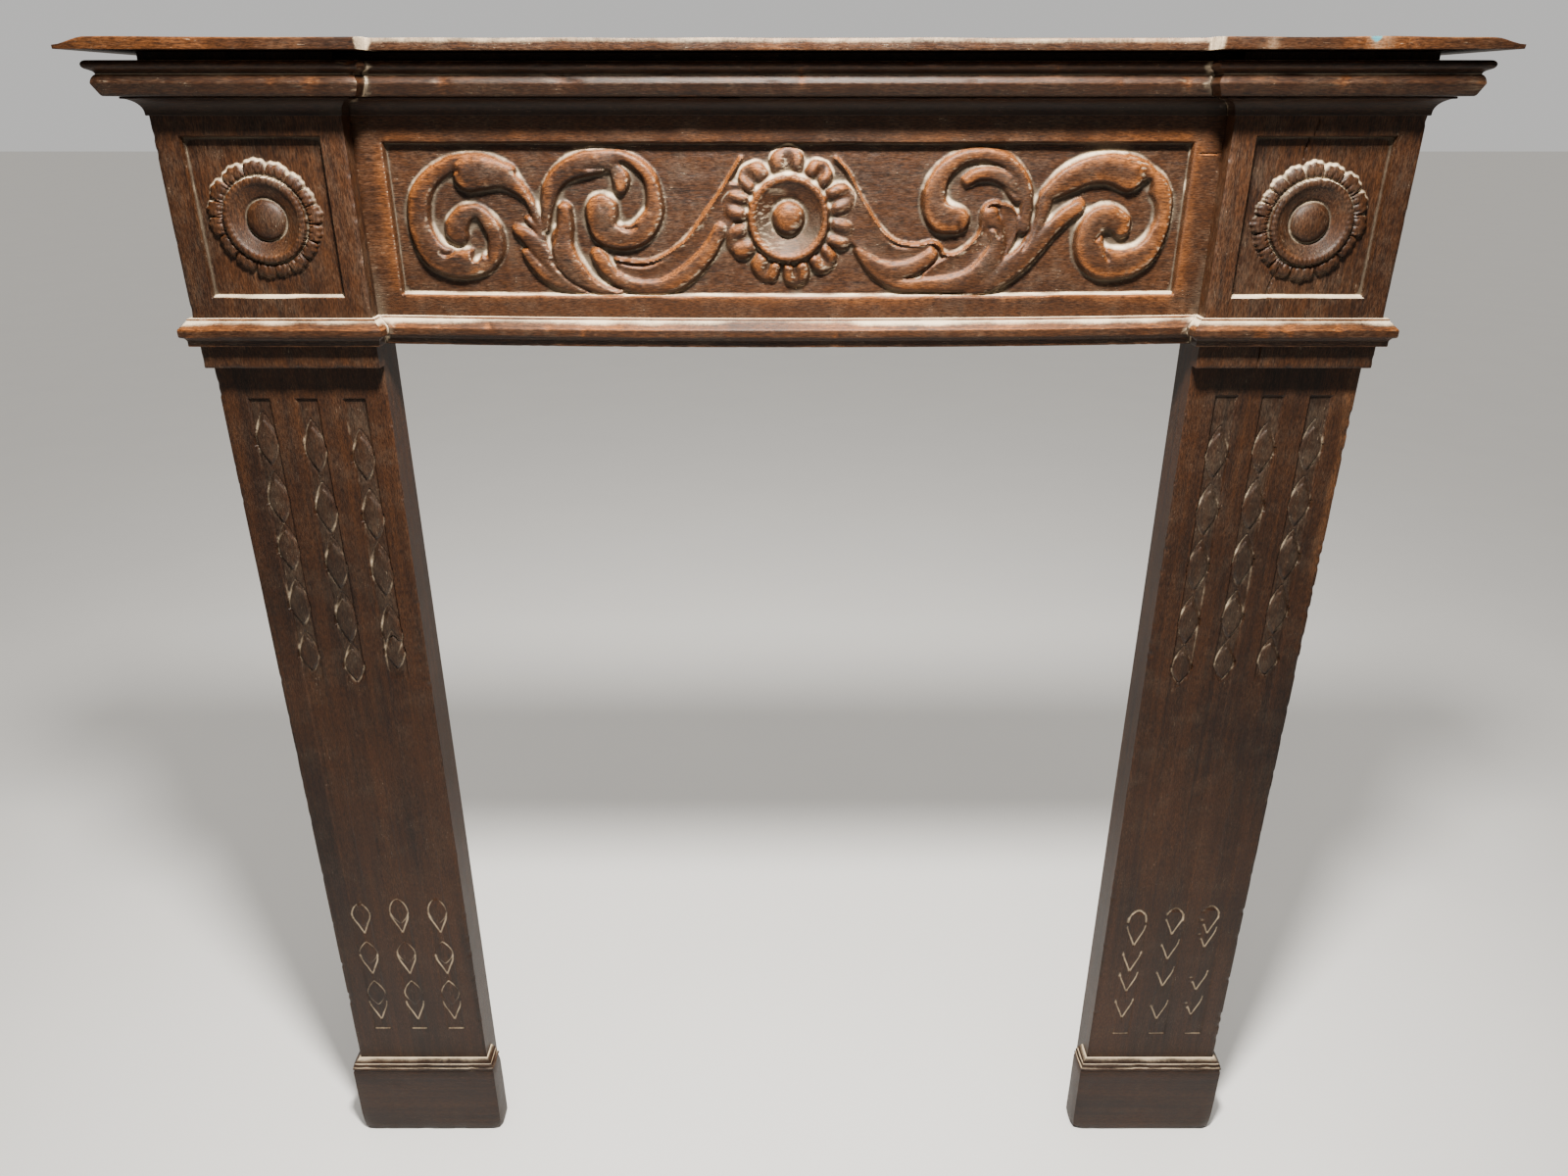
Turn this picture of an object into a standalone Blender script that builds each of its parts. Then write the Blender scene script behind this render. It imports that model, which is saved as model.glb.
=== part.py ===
"""Carved oak fireplace mantel: two fluted legs on plinths, a scroll-carved frieze between two
rosette blocks, mitred rail, bed and crown mouldings, and a breakfront shelf.

Metres, +Z up, +X to the right, +Y towards the wall. The origin is on the floor, under the middle
of the whole mantel's box.
"""
import math

import bmesh
import bpy
from mathutils import Matrix, Vector

# Overall sizes
HEIGHT = 1.495
DEPTH = 0.144
OPENING_WIDTH = 0.896
LEG_WIDTH = 0.188
BOARD_THICK = 0.024
GAP = 0.0003

# Shelf
SHELF_THICK = 0.011
SHELF_OVERHANG = 0.050
SHELF_STEP_LAP = 0.043

# Blocks at the ends of the frieze, each with the neck below it
BLOCK_THICK = 0.022
BLOCK_LAP = 0.003
NECK_HEIGHT = 0.025
NECK_SETBACK = 0.002

# Frieze board and the sunk panels
FRIEZE_HEIGHT = 0.287
PANEL_DEPTH = 0.008
PANEL_MARGIN_ABOVE = 0.0245
PANEL_MARGIN_BELOW = 0.0215
FRIEZE_PANEL_MARGIN = 0.029
BLOCK_PANEL_MARGIN = 0.0245

# Mouldings: how far each stands out, and how high it is
RAIL_OUT = 0.014
RAIL_HEIGHT = 0.0294
RAIL_RISE = 0.002
BED_OUT = 0.0175
BED_HEIGHT = 0.0164
CROWN_OUT = 0.037
CROWN_HEIGHT = 0.0313
CROWN_SHADOW_GAP = 0.0087
BED_GAP = 0.001

# Plinths
PLINTH_HEIGHT = 0.122
PLINTH_THICK = 0.0115
PLINTH_CAP_HEIGHT = 0.016

# Flutes with their chains of husks
FLUTE_COUNT = 3
FLUTE_WIDTH = 0.026
FLUTE_PITCH = 0.053
FLUTE_DEPTH = 0.005
FLUTE_TOP_MARGIN = 0.038
FLUTE_FOOT_MARGIN = 0.052
HUSK_WIDTH = 0.0235
HUSK_RELIEF = 0.0045
UPPER_HUSKS = 5
UPPER_HUSK_PITCH = 0.071
LOWER_HUSKS = 3
LOWER_HUSK_PITCH = 0.077
HUSK_OVERLAP = 0.004

# Block rosette
ROSETTE_RADIUS = 0.061
ROSETTE_RING = 0.0425
ROSETTE_BOSS = 0.021
ROSETTE_RELIEF = 0.0095
ROSETTE_LOBES = 16

# Rosette in the middle of the frieze
FLOWER_RADIUS = 0.070
FLOWER_RING = 0.042
FLOWER_BOSS = 0.0185
FLOWER_RELIEF = 0.012
FLOWER_PETALS = 10

# Scroll carving, as shares of the height of the frieze panel
CARVED_HEIGHT = 0.1535
STEM_LOW_X = 0.98
STEM_LOW_Z = -0.37
STEM_INNER_X = 0.40
STEM_INNER_RISE = 0.66
STEM_OUTER_X = 1.95
STEM_OUTER_RISE = 0.42
STEM_WIDTH = 0.235
OUTER_SCROLL_X = 2.21
OUTER_SCROLL_Z = 0.01
OUTER_SCROLL_RADIUS = 0.338
OUTER_BUD_RADIUS = 0.155
INNER_SCROLL_X = 1.29
INNER_SCROLL_Z = 0.125
INNER_SCROLL_RADIUS = 0.286
INNER_BUD_RADIUS = 0.125
SCROLL_WIDTH = 0.17
LEAF_LENGTH = 0.40
LEAF_WIDTH = 0.13
STEM_RELIEF_SHARE = 0.55
BUD_RELIEF = 0.009
LUMP_RISE = 0.0007

# Places worked out from the sizes
SHELF_UNDER = HEIGHT - SHELF_THICK
BACK_Y = DEPTH / 2
FACE_Y = -DEPTH / 2 + SHELF_OVERHANG + BLOCK_THICK
BLOCK_FACE_Y = FACE_Y - BLOCK_THICK
OPENING_X = OPENING_WIDTH / 2
LEG_OUTER_X = OPENING_X + LEG_WIDTH
BLOCK_INNER_X = OPENING_X - BLOCK_LAP
LEG_MIDDLE_X = OPENING_X + LEG_WIDTH / 2
FRIEZE_FOOT = SHELF_UNDER - FRIEZE_HEIGHT
RAIL_FOOT = FRIEZE_FOOT + RAIL_RISE
NECK_FOOT = RAIL_FOOT - NECK_HEIGHT
CROWN_FOOT = SHELF_UNDER - CROWN_SHADOW_GAP - CROWN_HEIGHT
BED_FOOT = CROWN_FOOT - BED_GAP - BED_HEIGHT
PANEL_TOP = BED_FOOT - PANEL_MARGIN_ABOVE
PANEL_FOOT = RAIL_FOOT + RAIL_HEIGHT + PANEL_MARGIN_BELOW
PANEL_MIDDLE_Z = (PANEL_TOP + PANEL_FOOT) / 2
FLUTE_TOP = NECK_FOOT - FLUTE_TOP_MARGIN
FLUTE_FOOT = PLINTH_HEIGHT + PLINTH_CAP_HEIGHT + FLUTE_FOOT_MARGIN

# Colours of the stained oak, darker towards the floor
OAK_TOP = (0.20, 0.085, 0.040)
OAK_CARVED = (0.13, 0.052, 0.026)
OAK_LEG = (0.062, 0.025, 0.014)
OAK_BACK = (0.085, 0.045, 0.026)

SIDES = {"left": -1, "right": 1}
UP = Vector((0, 0, 1))


def clear_scene():
    """Remove every object that is in the open scene."""
    for old in list(bpy.data.objects):
        bpy.data.objects.remove(old, do_unlink=True)


def new_collection(name, parent):
    """A collection of that name inside another."""
    group = bpy.data.collections.new(name)
    parent.children.link(group)
    return group


def paint(piece, colour):
    """Give a piece its own stained oak."""
    oak = bpy.data.materials.new(piece.name + "_oak")
    oak.use_nodes = True
    shader = oak.node_tree.nodes["Principled BSDF"]
    shader.inputs["Base Color"].default_value = (*colour, 1)
    shader.inputs["Roughness"].default_value = 0.55
    shader.inputs["Metallic"].default_value = 0
    piece.data.materials.append(oak)


def add_piece(name, mesh, colour):
    """Place a mesh in the mantel's collection as a piece of its own."""
    piece = bpy.data.objects.new(name, mesh)
    mantel.objects.link(piece)
    paint(piece, colour)
    return piece


def add_guide(name, mesh, group):
    """Place a mesh in one of the cutters' collections, for a Boolean to use."""
    guide = bpy.data.objects.new(name, mesh)
    guide.hide_render = True
    guide.display_type = "WIRE"
    group.objects.link(guide)
    return guide


def boolean(piece, group, operation):
    """Cut every guide in a collection out of a piece, or join them all to it."""
    step = piece.modifiers.new(operation.lower(), "BOOLEAN")
    step.operation = operation
    step.solver = "EXACT"
    step.operand_type = "COLLECTION"
    step.collection = group


def guides_for(piece):
    """Two collections for a piece: what is cut from it, and what is joined to it afterwards."""
    cuts = new_collection(piece.name + "_cuts", cutters)
    joins = new_collection(piece.name + "_joins", cutters)
    boolean(piece, cuts, "DIFFERENCE")
    boolean(piece, joins, "UNION")
    return cuts, joins


def box_mesh(name, low, high):
    """A box between two corners."""
    shape = bmesh.new()
    bmesh.ops.create_cube(shape, size=1)
    size = [b - a for a, b in zip(low, high)]
    middle = [(a + b) / 2 for a, b in zip(low, high)]
    bmesh.ops.scale(shape, vec=size, verts=shape.verts)
    bmesh.ops.translate(shape, vec=middle, verts=shape.verts)
    return mesh_from(shape, name)


def mesh_from(shape, name):
    """Turn a finished bmesh into mesh data."""
    mesh = bpy.data.meshes.new(name)
    shape.to_mesh(mesh)
    shape.free()
    return mesh


def outline_mesh(name, outline, thickness):
    """A flat outline filled and extruded evenly about its own plane, with welded caps."""
    curve = bpy.data.curves.new(name, "CURVE")
    curve.dimensions = "2D"
    curve.fill_mode = "BOTH"
    curve.extrude = thickness / 2
    line = curve.splines.new("POLY")
    line.points.add(len(outline) - 1)
    for point, (x, y) in zip(line.points, outline):
        point.co = (x, y, 0, 1)
    line.use_cyclic_u = True
    return welded_mesh(name, curve)


def welded_mesh(name, curve):
    """The evaluated mesh of a curve, closed at its caps."""
    holder = bpy.data.objects.new(name, curve)
    cutters.objects.link(holder)
    bpy.context.view_layer.update()
    mesh = bpy.data.meshes.new_from_object(holder.evaluated_get(bpy.context.evaluated_depsgraph_get()))
    mesh.name = name
    bpy.data.objects.remove(holder, do_unlink=True)
    shape = bmesh.new()
    shape.from_mesh(mesh)
    bmesh.ops.remove_doubles(shape, verts=shape.verts, dist=0.00001)
    bmesh.ops.recalc_face_normals(shape, faces=shape.faces)
    shape.to_mesh(mesh)
    shape.free()
    mesh.materials.clear()
    return mesh


def arc(middle, radii, start, end, steps):
    """Points on part of an ellipse, angles in degrees."""
    points = []
    for i in range(steps + 1):
        angle = math.radians(start + (end - start) * i / steps)
        points.append((middle[0] + radii[0] * math.cos(angle), middle[1] + radii[1] * math.sin(angle)))
    return points


def scaled(shares, out, height):
    """A moulding's profile at its real size, from shares of its projection and height."""
    return [(x * out, z * height) for x, z in shares]


def rail_profile():
    """Fillet, undercut, upright face and a slope up to a thin top fillet."""
    shares = [(0, 0), (0.5, 0), (0.5, 0.22), (0.64, 0.31), (0.96, 0.36), (1, 0.40)]
    shares += [(1, 0.62), (0.94, 0.67), (0.36, 0.90), (0.30, 1), (0, 1)]
    return scaled(shares, RAIL_OUT, RAIL_HEIGHT)


def bed_profile():
    """A hollow between two thin fillets."""
    shares = [(0, 0), (0.12, 0), (0.12, 0.14)]
    shares += arc((0.92, 0.14), (0.80, 0.74), 180, 90, 5)[1:]
    shares += [(1, 0.88), (1, 1), (0, 1)]
    return scaled(shares, BED_OUT, BED_HEIGHT)


def crown_profile():
    """Lip, round shoulder, groove and a rounded nose at the top."""
    shares = [(0, 0), (0.74, 0), (0.78, 0.05)]
    shares += arc((0.74, 0.22), (0.18, 0.40), 20, 80, 4)
    shares += [(0.80, 0.68), (0.88, 0.73)]
    shares += arc((0.88, 0.87), (0.12, 0.13), -60, 90, 5)
    shares += [(0, 1)]
    return scaled(shares, CROWN_OUT, CROWN_HEIGHT)


def plinth_cap_profile():
    """Thin fillet, a round, a groove, and a slope up to the leg."""
    shares = [(0, 0), (1, 0), (1, 0.15), (0.86, 0.19)]
    shares += arc((0.60, 0.37), (0.28, 0.17), -50, 70, 3)
    shares += [(0.58, 0.58), (0.62, 0.66), (0.15, 1), (0, 1)]
    return scaled(shares, PLINTH_THICK, PLINTH_CAP_HEIGHT)


def plain_profile(out, height):
    """The section of a square board."""
    return [(0, 0), (out, 0), (out, height), (0, height)]


def strip(name, profile, start, end, outward, foot, mitres, colour):
    """One length of moulding between two corners of the wall it is fixed to.

    A mitre of 1 goes round an outside corner, -1 into an inside corner, and 0 is a square end.
    """
    outward = Vector((*outward, 0))
    along = outward.cross(UP)
    corners = [Vector((*start, foot)), Vector((*end, foot))]
    if (corners[1] - corners[0]).dot(along) < 0:
        corners.reverse()
        mitres = (mitres[1], mitres[0])
    half = (corners[1] - corners[0]).length / 2
    reach = max(x for x, z in profile)
    shape = bmesh.new()
    shape.from_mesh(outline_mesh(name, profile, 2 * (half + reach + GAP)))
    for side, mitre in ((-1, mitres[0]), (1, mitres[1])):
        setback = {1: 0, 0: 0, -1: 2 * GAP}[mitre]
        trim_end(shape, Vector((0, 0, side * (half - setback))), Vector((-mitre, 0, side)))
    place = Matrix.Translation((corners[0] + corners[1]) / 2 + outward * GAP)
    turn = Matrix((outward, UP, along)).transposed().to_4x4()
    piece = add_piece(name, mesh_from(shape, name), colour)
    piece.matrix_world = place @ turn
    return piece


def trim_end(shape, point, normal):
    """Saw off everything past a plane and close the cut."""
    everything = list(shape.verts) + list(shape.edges) + list(shape.faces)
    bmesh.ops.bisect_plane(
        shape, geom=everything, dist=0.000001, plane_co=point, plane_no=normal, clear_outer=True
    )
    rim = [edge for edge in shape.edges if edge.is_boundary]
    bmesh.ops.holes_fill(shape, edges=rim, sides=0)
    bmesh.ops.recalc_face_normals(shape, faces=shape.faces)


def wrap_block(kind, profile, foot, colour):
    """A moulding round the front of both blocks and along the frieze between them."""
    for word, side in SIDES.items():
        inner = side * BLOCK_INNER_X
        outer = side * LEG_OUTER_X
        strip(
            kind + "_front_" + word, profile, (inner, BLOCK_FACE_Y), (outer, BLOCK_FACE_Y),
            (0, -1), foot, (1, 1), colour
        )
        strip(
            kind + "_inner_" + word, profile, (inner, BLOCK_FACE_Y), (inner, FACE_Y),
            (-side, 0), foot, (1, -1), colour
        )
        strip(
            kind + "_outer_" + word, profile, (outer, BLOCK_FACE_Y), (outer, BACK_Y),
            (side, 0), foot, (1, 0), colour
        )
    strip(
        kind + "_centre", profile, (-BLOCK_INNER_X, FACE_Y), (BLOCK_INNER_X, FACE_Y),
        (0, -1), foot, (-1, -1), colour
    )


def wrap_foot(kind, profile, foot, colour):
    """A board or moulding round the front and both sides of each leg's foot."""
    for word, side in SIDES.items():
        inner = side * OPENING_X
        outer = side * LEG_OUTER_X
        strip(
            kind + "_front_" + word, profile, (inner, FACE_Y), (outer, FACE_Y),
            (0, -1), foot, (1, 1), colour
        )
        strip(
            kind + "_inner_" + word, profile, (inner, FACE_Y), (inner, FACE_Y + BOARD_THICK),
            (-side, 0), foot, (1, 0), colour
        )
        strip(
            kind + "_outer_" + word, profile, (outer, FACE_Y), (outer, BACK_Y),
            (side, 0), foot, (1, 0), colour
        )


def round_lump(group, name, middle, radii, turn=0.0, segments=8, rings=4):
    """A flattened ball for a boss, petal, husk or bud, with its poles along its length."""
    shape = bmesh.new()
    bmesh.ops.create_uvsphere(shape, u_segments=segments, v_segments=rings, radius=1)
    bmesh.ops.scale(shape, vec=radii, verts=shape.verts)
    bmesh.ops.rotate(shape, matrix=Matrix.Rotation(turn, 3, "Y"), verts=shape.verts)
    add_guide(name, mesh_from(shape, name), group).location = middle


def turned(group, name, middle, profile, steps):
    """A profile turned about the axis that points out of the carving."""
    shape = bmesh.new()
    corners = [shape.verts.new((r, 0, h)) for r, h in profile]
    for a, b in zip(corners, corners[1:]):
        shape.edges.new((a, b))
    guide = add_guide(name, mesh_from(shape, name), group)
    screw = guide.modifiers.new("turn", "SCREW")
    screw.steps = steps
    screw.render_steps = steps
    screw.use_merge_vertices = True
    screw.merge_threshold = 0.00001
    guide.location = middle
    guide.rotation_euler.x = math.radians(90)


def dish_profile(rim, ring, boss, relief):
    """Boss, hollow dish and raised ring, from the middle out, then down into the wood."""
    sunk = -0.002
    return [
        (0, relief), (0.6 * boss, 0.9 * relief), (0.95 * boss, 0.55 * relief), (boss, 0.22 * relief),
        (0.5 * (boss + ring), 0.16 * relief), (0.88 * ring, 0.5 * relief), (0.94 * ring, 0.88 * relief),
        (ring, 0.92 * relief), (1.05 * ring, 0.6 * relief), (rim, 0.3 * relief), (rim, sunk), (0, sunk)
    ]


def carve_rosette(group, middle, sizes, petal_shape):
    """A dish with its ring of petals or lobes, standing on a sunk panel."""
    radius, ring, boss, relief, count = sizes
    core = 0.5 * (radius + ring)
    turned(group, group.name + "_dish", middle, dish_profile(core, ring, boss, relief), 24)
    for i in range(count):
        angle = 2 * math.pi * i / count
        reach = radius - petal_shape[1]
        spot = Vector(middle) + Vector((reach * math.sin(angle), -LUMP_RISE, reach * math.cos(angle)))
        size = (petal_shape[0], 0.55 * relief, petal_shape[1])
        round_lump(group, f"{group.name}_petal_{i}", spot, size, angle)


def tapered_stem(group, name, points, widths):
    """A carved stem: a tube along a line, flattened against the panel."""
    curve = bpy.data.curves.new(name, "CURVE")
    curve.dimensions = "3D"
    curve.bevel_depth = 1
    curve.bevel_resolution = 1
    curve.use_fill_caps = True
    line = curve.splines.new("POLY")
    line.points.add(len(points) - 1)
    for point, (x, z), width in zip(line.points, points, widths):
        point.co = (x, 0, z, 1)
        point.radius = width / 2
    mesh = welded_mesh(name, curve)
    mesh.transform(Matrix.Diagonal((1, STEM_RELIEF_SHARE, 1, 1)))
    add_guide(name, mesh, group).location.y = FACE_Y + PANEL_DEPTH - LUMP_RISE


def panel_point(side, x, z):
    """A point of the carving, from shares of the panel's height, on one side of the middle."""
    return (side * x * CARVED_HEIGHT, PANEL_MIDDLE_Z + z * CARVED_HEIGHT)


def stem_line(side):
    """The long stem: down from the middle rosette, along the foot and up into the outer leaf."""
    points = []
    steps = 15
    for i in range(steps + 1):
        x = STEM_INNER_X + (STEM_OUTER_X - STEM_INNER_X) * i / steps
        if x < STEM_LOW_X:
            rise = STEM_INNER_RISE * ((STEM_LOW_X - x) / (STEM_LOW_X - STEM_INNER_X)) ** 2
        else:
            rise = STEM_OUTER_RISE * ((x - STEM_LOW_X) / (STEM_OUTER_X - STEM_LOW_X)) ** 1.5
        points.append(panel_point(side, x, STEM_LOW_Z + rise))
    swell = [math.sin(math.pi * (0.06 + 0.86 * i / steps)) for i in range(steps + 1)]
    return points, [STEM_WIDTH * CARVED_HEIGHT * s for s in swell]


def scroll_line(side, middle, radius, start, end, flare, curl):
    """A scroll that leaves the stem wide, runs round at one radius and curls in at its end."""
    points = []
    steps = 18
    for i in range(steps + 1):
        t = i / steps
        angle = math.radians(start + (end - start) * t)
        r = radius + flare * (1 - t) ** 4 - curl * t ** 4
        points.append(panel_point(side, middle[0] + r * math.cos(angle), middle[1] + r * math.sin(angle)))
    swell = [0.75 + 0.35 * math.sin(math.pi * i / steps) for i in range(steps + 1)]
    return points, [SCROLL_WIDTH * CARVED_HEIGHT * s for s in swell]


def carve_scrolls(group):
    """The stem, two scrolls with their buds, and the leaf between them, on both sides."""
    ground = FACE_Y + PANEL_DEPTH - LUMP_RISE
    for word, side in SIDES.items():
        tapered_stem(group, "stem_" + word, *stem_line(side))
        outer = (OUTER_SCROLL_X, OUTER_SCROLL_Z)
        line = scroll_line(side, outer, OUTER_SCROLL_RADIUS, 196, -138, 0.16, 0.12)
        tapered_stem(group, "outer_scroll_" + word, *line)
        inner = (INNER_SCROLL_X, INNER_SCROLL_Z)
        line = scroll_line(side, inner, INNER_SCROLL_RADIUS, -62, 196, 0.05, 0.05)
        tapered_stem(group, "inner_scroll_" + word, *line)
        buds = (
            ("outer_bud_", outer[0] - 0.045, outer[1] - 0.055, OUTER_BUD_RADIUS),
            ("inner_bud_", inner[0] - 0.125, inner[1] - 0.105, INNER_BUD_RADIUS),
        )
        for name, x, z, share in buds:
            radius = share * CARVED_HEIGHT
            spot = panel_point(side, x, z)
            size = (radius, BUD_RELIEF, radius)
            round_lump(group, name + word, (spot[0], ground, spot[1]), size, 0, 12, 6)
        spot = panel_point(side, inner[0] + 0.17, inner[1] - 0.20)
        size = (LEAF_WIDTH * CARVED_HEIGHT / 2, BUD_RELIEF * 0.8, LEAF_LENGTH * CARVED_HEIGHT / 2)
        round_lump(group, "leaf_" + word, (spot[0], ground, spot[1]), size, side * -0.22)


def make_shafts():
    """The leg boards, each with three flutes and their husks."""
    for word, side in SIDES.items():
        low = (min(side * OPENING_X, side * LEG_OUTER_X), FACE_Y, 0)
        high = (max(side * OPENING_X, side * LEG_OUTER_X), FACE_Y + BOARD_THICK, SHELF_UNDER - GAP)
        shaft = add_piece("shaft_" + word, box_mesh("shaft_" + word, low, high), OAK_LEG)
        cuts, joins = guides_for(shaft)
        for i in range(FLUTE_COUNT):
            x = side * LEG_MIDDLE_X + (i - (FLUTE_COUNT - 1) / 2) * FLUTE_PITCH
            cut_flute(cuts, joins, f"{word}_{i}", x)


def cut_flute(cuts, joins, label, x):
    """One square-ended flute, with a chain of husks at its top and another at its foot."""
    shape = bmesh.new()
    bmesh.ops.create_cone(
        shape, cap_ends=True, segments=12, radius1=1, radius2=1, depth=FLUTE_TOP - FLUTE_FOOT
    )
    bmesh.ops.scale(shape, vec=(FLUTE_WIDTH / 2, FLUTE_DEPTH, 1), verts=shape.verts)
    channel = add_guide("flute_" + label, mesh_from(shape, "flute_" + label), cuts)
    channel.location = (x, FACE_Y, (FLUTE_TOP + FLUTE_FOOT) / 2)
    chains = (
        ("upper", FLUTE_TOP - HUSK_OVERLAP, -UPPER_HUSK_PITCH, UPPER_HUSKS),
        ("lower", FLUTE_FOOT + HUSK_OVERLAP, LOWER_HUSK_PITCH, LOWER_HUSKS),
    )
    for chain, start, pitch, count in chains:
        for i in range(count):
            spot = (x, FACE_Y + FLUTE_DEPTH - HUSK_OVERLAP / 8, start + pitch * (i + 0.5))
            size = (HUSK_WIDTH / 2, HUSK_RELIEF, abs(pitch) / 2 + HUSK_OVERLAP / 2)
            round_lump(joins, f"husk_{chain}_{label}_{i}", spot, size)


def make_cheeks():
    """The side boards behind the outer edge of each leg, which reach back to the wall."""
    for word, side in SIDES.items():
        edges = sorted((side * LEG_OUTER_X, side * (LEG_OUTER_X - BOARD_THICK)))
        low = (edges[0], FACE_Y + BOARD_THICK + GAP, 0)
        high = (edges[1], BACK_Y, SHELF_UNDER - GAP)
        add_piece("cheek_" + word, box_mesh("cheek_" + word, low, high), OAK_BACK)


def make_blocks():
    """The blocks over the legs, each in one board with its neck, with a sunk panel and rosette."""
    for word, side in SIDES.items():
        edges = sorted((side * BLOCK_INNER_X, side * LEG_OUTER_X))
        low = (edges[0], BLOCK_FACE_Y, RAIL_FOOT)
        high = (edges[1], FACE_Y - GAP, SHELF_UNDER - GAP)
        block = add_piece("capital_" + word, box_mesh("capital_" + word, low, high), OAK_CARVED)
        cuts, joins = guides_for(block)
        neck_edges = sorted((side * OPENING_X, side * LEG_OUTER_X))
        low = (neck_edges[0], BLOCK_FACE_Y + NECK_SETBACK, NECK_FOOT)
        high = (neck_edges[1], FACE_Y - GAP, RAIL_FOOT + NECK_SETBACK)
        add_guide("neck_" + word, box_mesh("neck_" + word, low, high), joins)
        ground = BLOCK_FACE_Y + PANEL_DEPTH
        low = (edges[0] + BLOCK_PANEL_MARGIN, BLOCK_FACE_Y - PANEL_DEPTH, PANEL_FOOT)
        high = (edges[1] - BLOCK_PANEL_MARGIN, ground, PANEL_TOP)
        add_guide("sinking_" + word, box_mesh("sinking_" + word, low, high), cuts)
        middle = ((edges[0] + edges[1]) / 2, ground, PANEL_MIDDLE_Z)
        sizes = (ROSETTE_RADIUS, ROSETTE_RING, ROSETTE_BOSS, ROSETTE_RELIEF, ROSETTE_LOBES)
        lobe = (math.pi * ROSETTE_RADIUS / ROSETTE_LOBES * 0.98, 0.2 * ROSETTE_RADIUS)
        carve_rosette(joins, middle, sizes, lobe)


def make_frieze():
    """The board between the legs, with its sunk panel, middle rosette and scrolls."""
    inner = OPENING_X - GAP
    low = (-inner, FACE_Y, FRIEZE_FOOT)
    high = (inner, FACE_Y + BOARD_THICK, SHELF_UNDER - GAP)
    frieze = add_piece("frieze", box_mesh("frieze", low, high), OAK_CARVED)
    cuts, joins = guides_for(frieze)
    edge = BLOCK_INNER_X - FRIEZE_PANEL_MARGIN
    ground = FACE_Y + PANEL_DEPTH
    low = (-edge, FACE_Y - PANEL_DEPTH, PANEL_FOOT)
    high = (edge, ground, PANEL_TOP)
    add_guide("frieze_sinking", box_mesh("frieze_sinking", low, high), cuts)
    sizes = (FLOWER_RADIUS, FLOWER_RING, FLOWER_BOSS, FLOWER_RELIEF, FLOWER_PETALS)
    petal = (math.pi * FLOWER_RADIUS / FLOWER_PETALS * 0.9, 0.27 * FLOWER_RADIUS)
    carve_rosette(joins, (0, ground, PANEL_MIDDLE_Z), sizes, petal)
    carve_scrolls(joins)


def make_shelf():
    """The breakfront shelf, deeper over the two blocks."""
    side = LEG_OUTER_X + SHELF_OVERHANG
    step = BLOCK_INNER_X - SHELF_STEP_LAP
    front = BLOCK_FACE_Y - SHELF_OVERHANG
    middle = FACE_Y - SHELF_OVERHANG
    outline = [
        (-side, BACK_Y), (-side, front), (-step, front), (-step, middle),
        (step, middle), (step, front), (side, front), (side, BACK_Y)
    ]
    shelf = add_piece("shelf", outline_mesh("shelf", outline, SHELF_THICK), OAK_TOP)
    shelf.location.z = HEIGHT - SHELF_THICK / 2


clear_scene()
mantel = new_collection("carved_fireplace_mantel", bpy.context.scene.collection)
cutters = new_collection("cutters", bpy.context.scene.collection)
make_shafts()
make_cheeks()
make_blocks()
make_frieze()
make_shelf()
wrap_block("rail", rail_profile(), RAIL_FOOT, OAK_CARVED)
wrap_block("bed", bed_profile(), BED_FOOT, OAK_CARVED)
wrap_block("crown", crown_profile(), CROWN_FOOT, OAK_TOP)
wrap_foot("plinth", plain_profile(PLINTH_THICK, PLINTH_HEIGHT), 0, OAK_LEG)
wrap_foot("plinth_cap", plinth_cap_profile(), PLINTH_HEIGHT + GAP, OAK_LEG)
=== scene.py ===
"""Looks of the carved oak fireplace mantel: carved boards, mouldings, old stained oak, dust and wear.

Laid out as a Blender add-on and run as a script. Metres, +Z up, the front faces -Y. The carving is
written in millimetres: x to the right and z up on the board's face, heights out of that face.
"""
import math

import bpy
import numpy as np
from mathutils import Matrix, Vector


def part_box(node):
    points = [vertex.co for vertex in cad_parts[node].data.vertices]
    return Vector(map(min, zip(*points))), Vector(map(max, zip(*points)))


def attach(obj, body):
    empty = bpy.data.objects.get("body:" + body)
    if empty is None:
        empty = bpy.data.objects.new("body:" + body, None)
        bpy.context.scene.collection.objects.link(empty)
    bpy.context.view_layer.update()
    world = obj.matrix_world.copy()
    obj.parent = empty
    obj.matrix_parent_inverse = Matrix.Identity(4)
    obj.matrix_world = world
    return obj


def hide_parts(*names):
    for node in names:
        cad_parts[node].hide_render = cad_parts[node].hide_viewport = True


bl_info = {
    "name": "Carved oak mantel",
    "version": (1, 0, 0),
    "blender": (4, 5, 0),
    "location": "3D View > Sidebar > Mantel",
    "description": "Builds the carved boards, mouldings and finishes of an oak fireplace mantel",
    "category": "Object",
}

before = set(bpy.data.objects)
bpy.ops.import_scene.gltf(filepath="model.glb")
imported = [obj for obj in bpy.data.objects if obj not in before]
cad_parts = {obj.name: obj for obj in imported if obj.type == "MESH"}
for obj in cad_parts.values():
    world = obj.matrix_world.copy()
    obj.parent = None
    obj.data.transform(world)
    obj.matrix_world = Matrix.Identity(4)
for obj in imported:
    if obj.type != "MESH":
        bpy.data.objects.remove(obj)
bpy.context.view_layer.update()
MM = 0.001
SIDES = {"left": -1, "right": 1}
BODY = "root"

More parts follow.
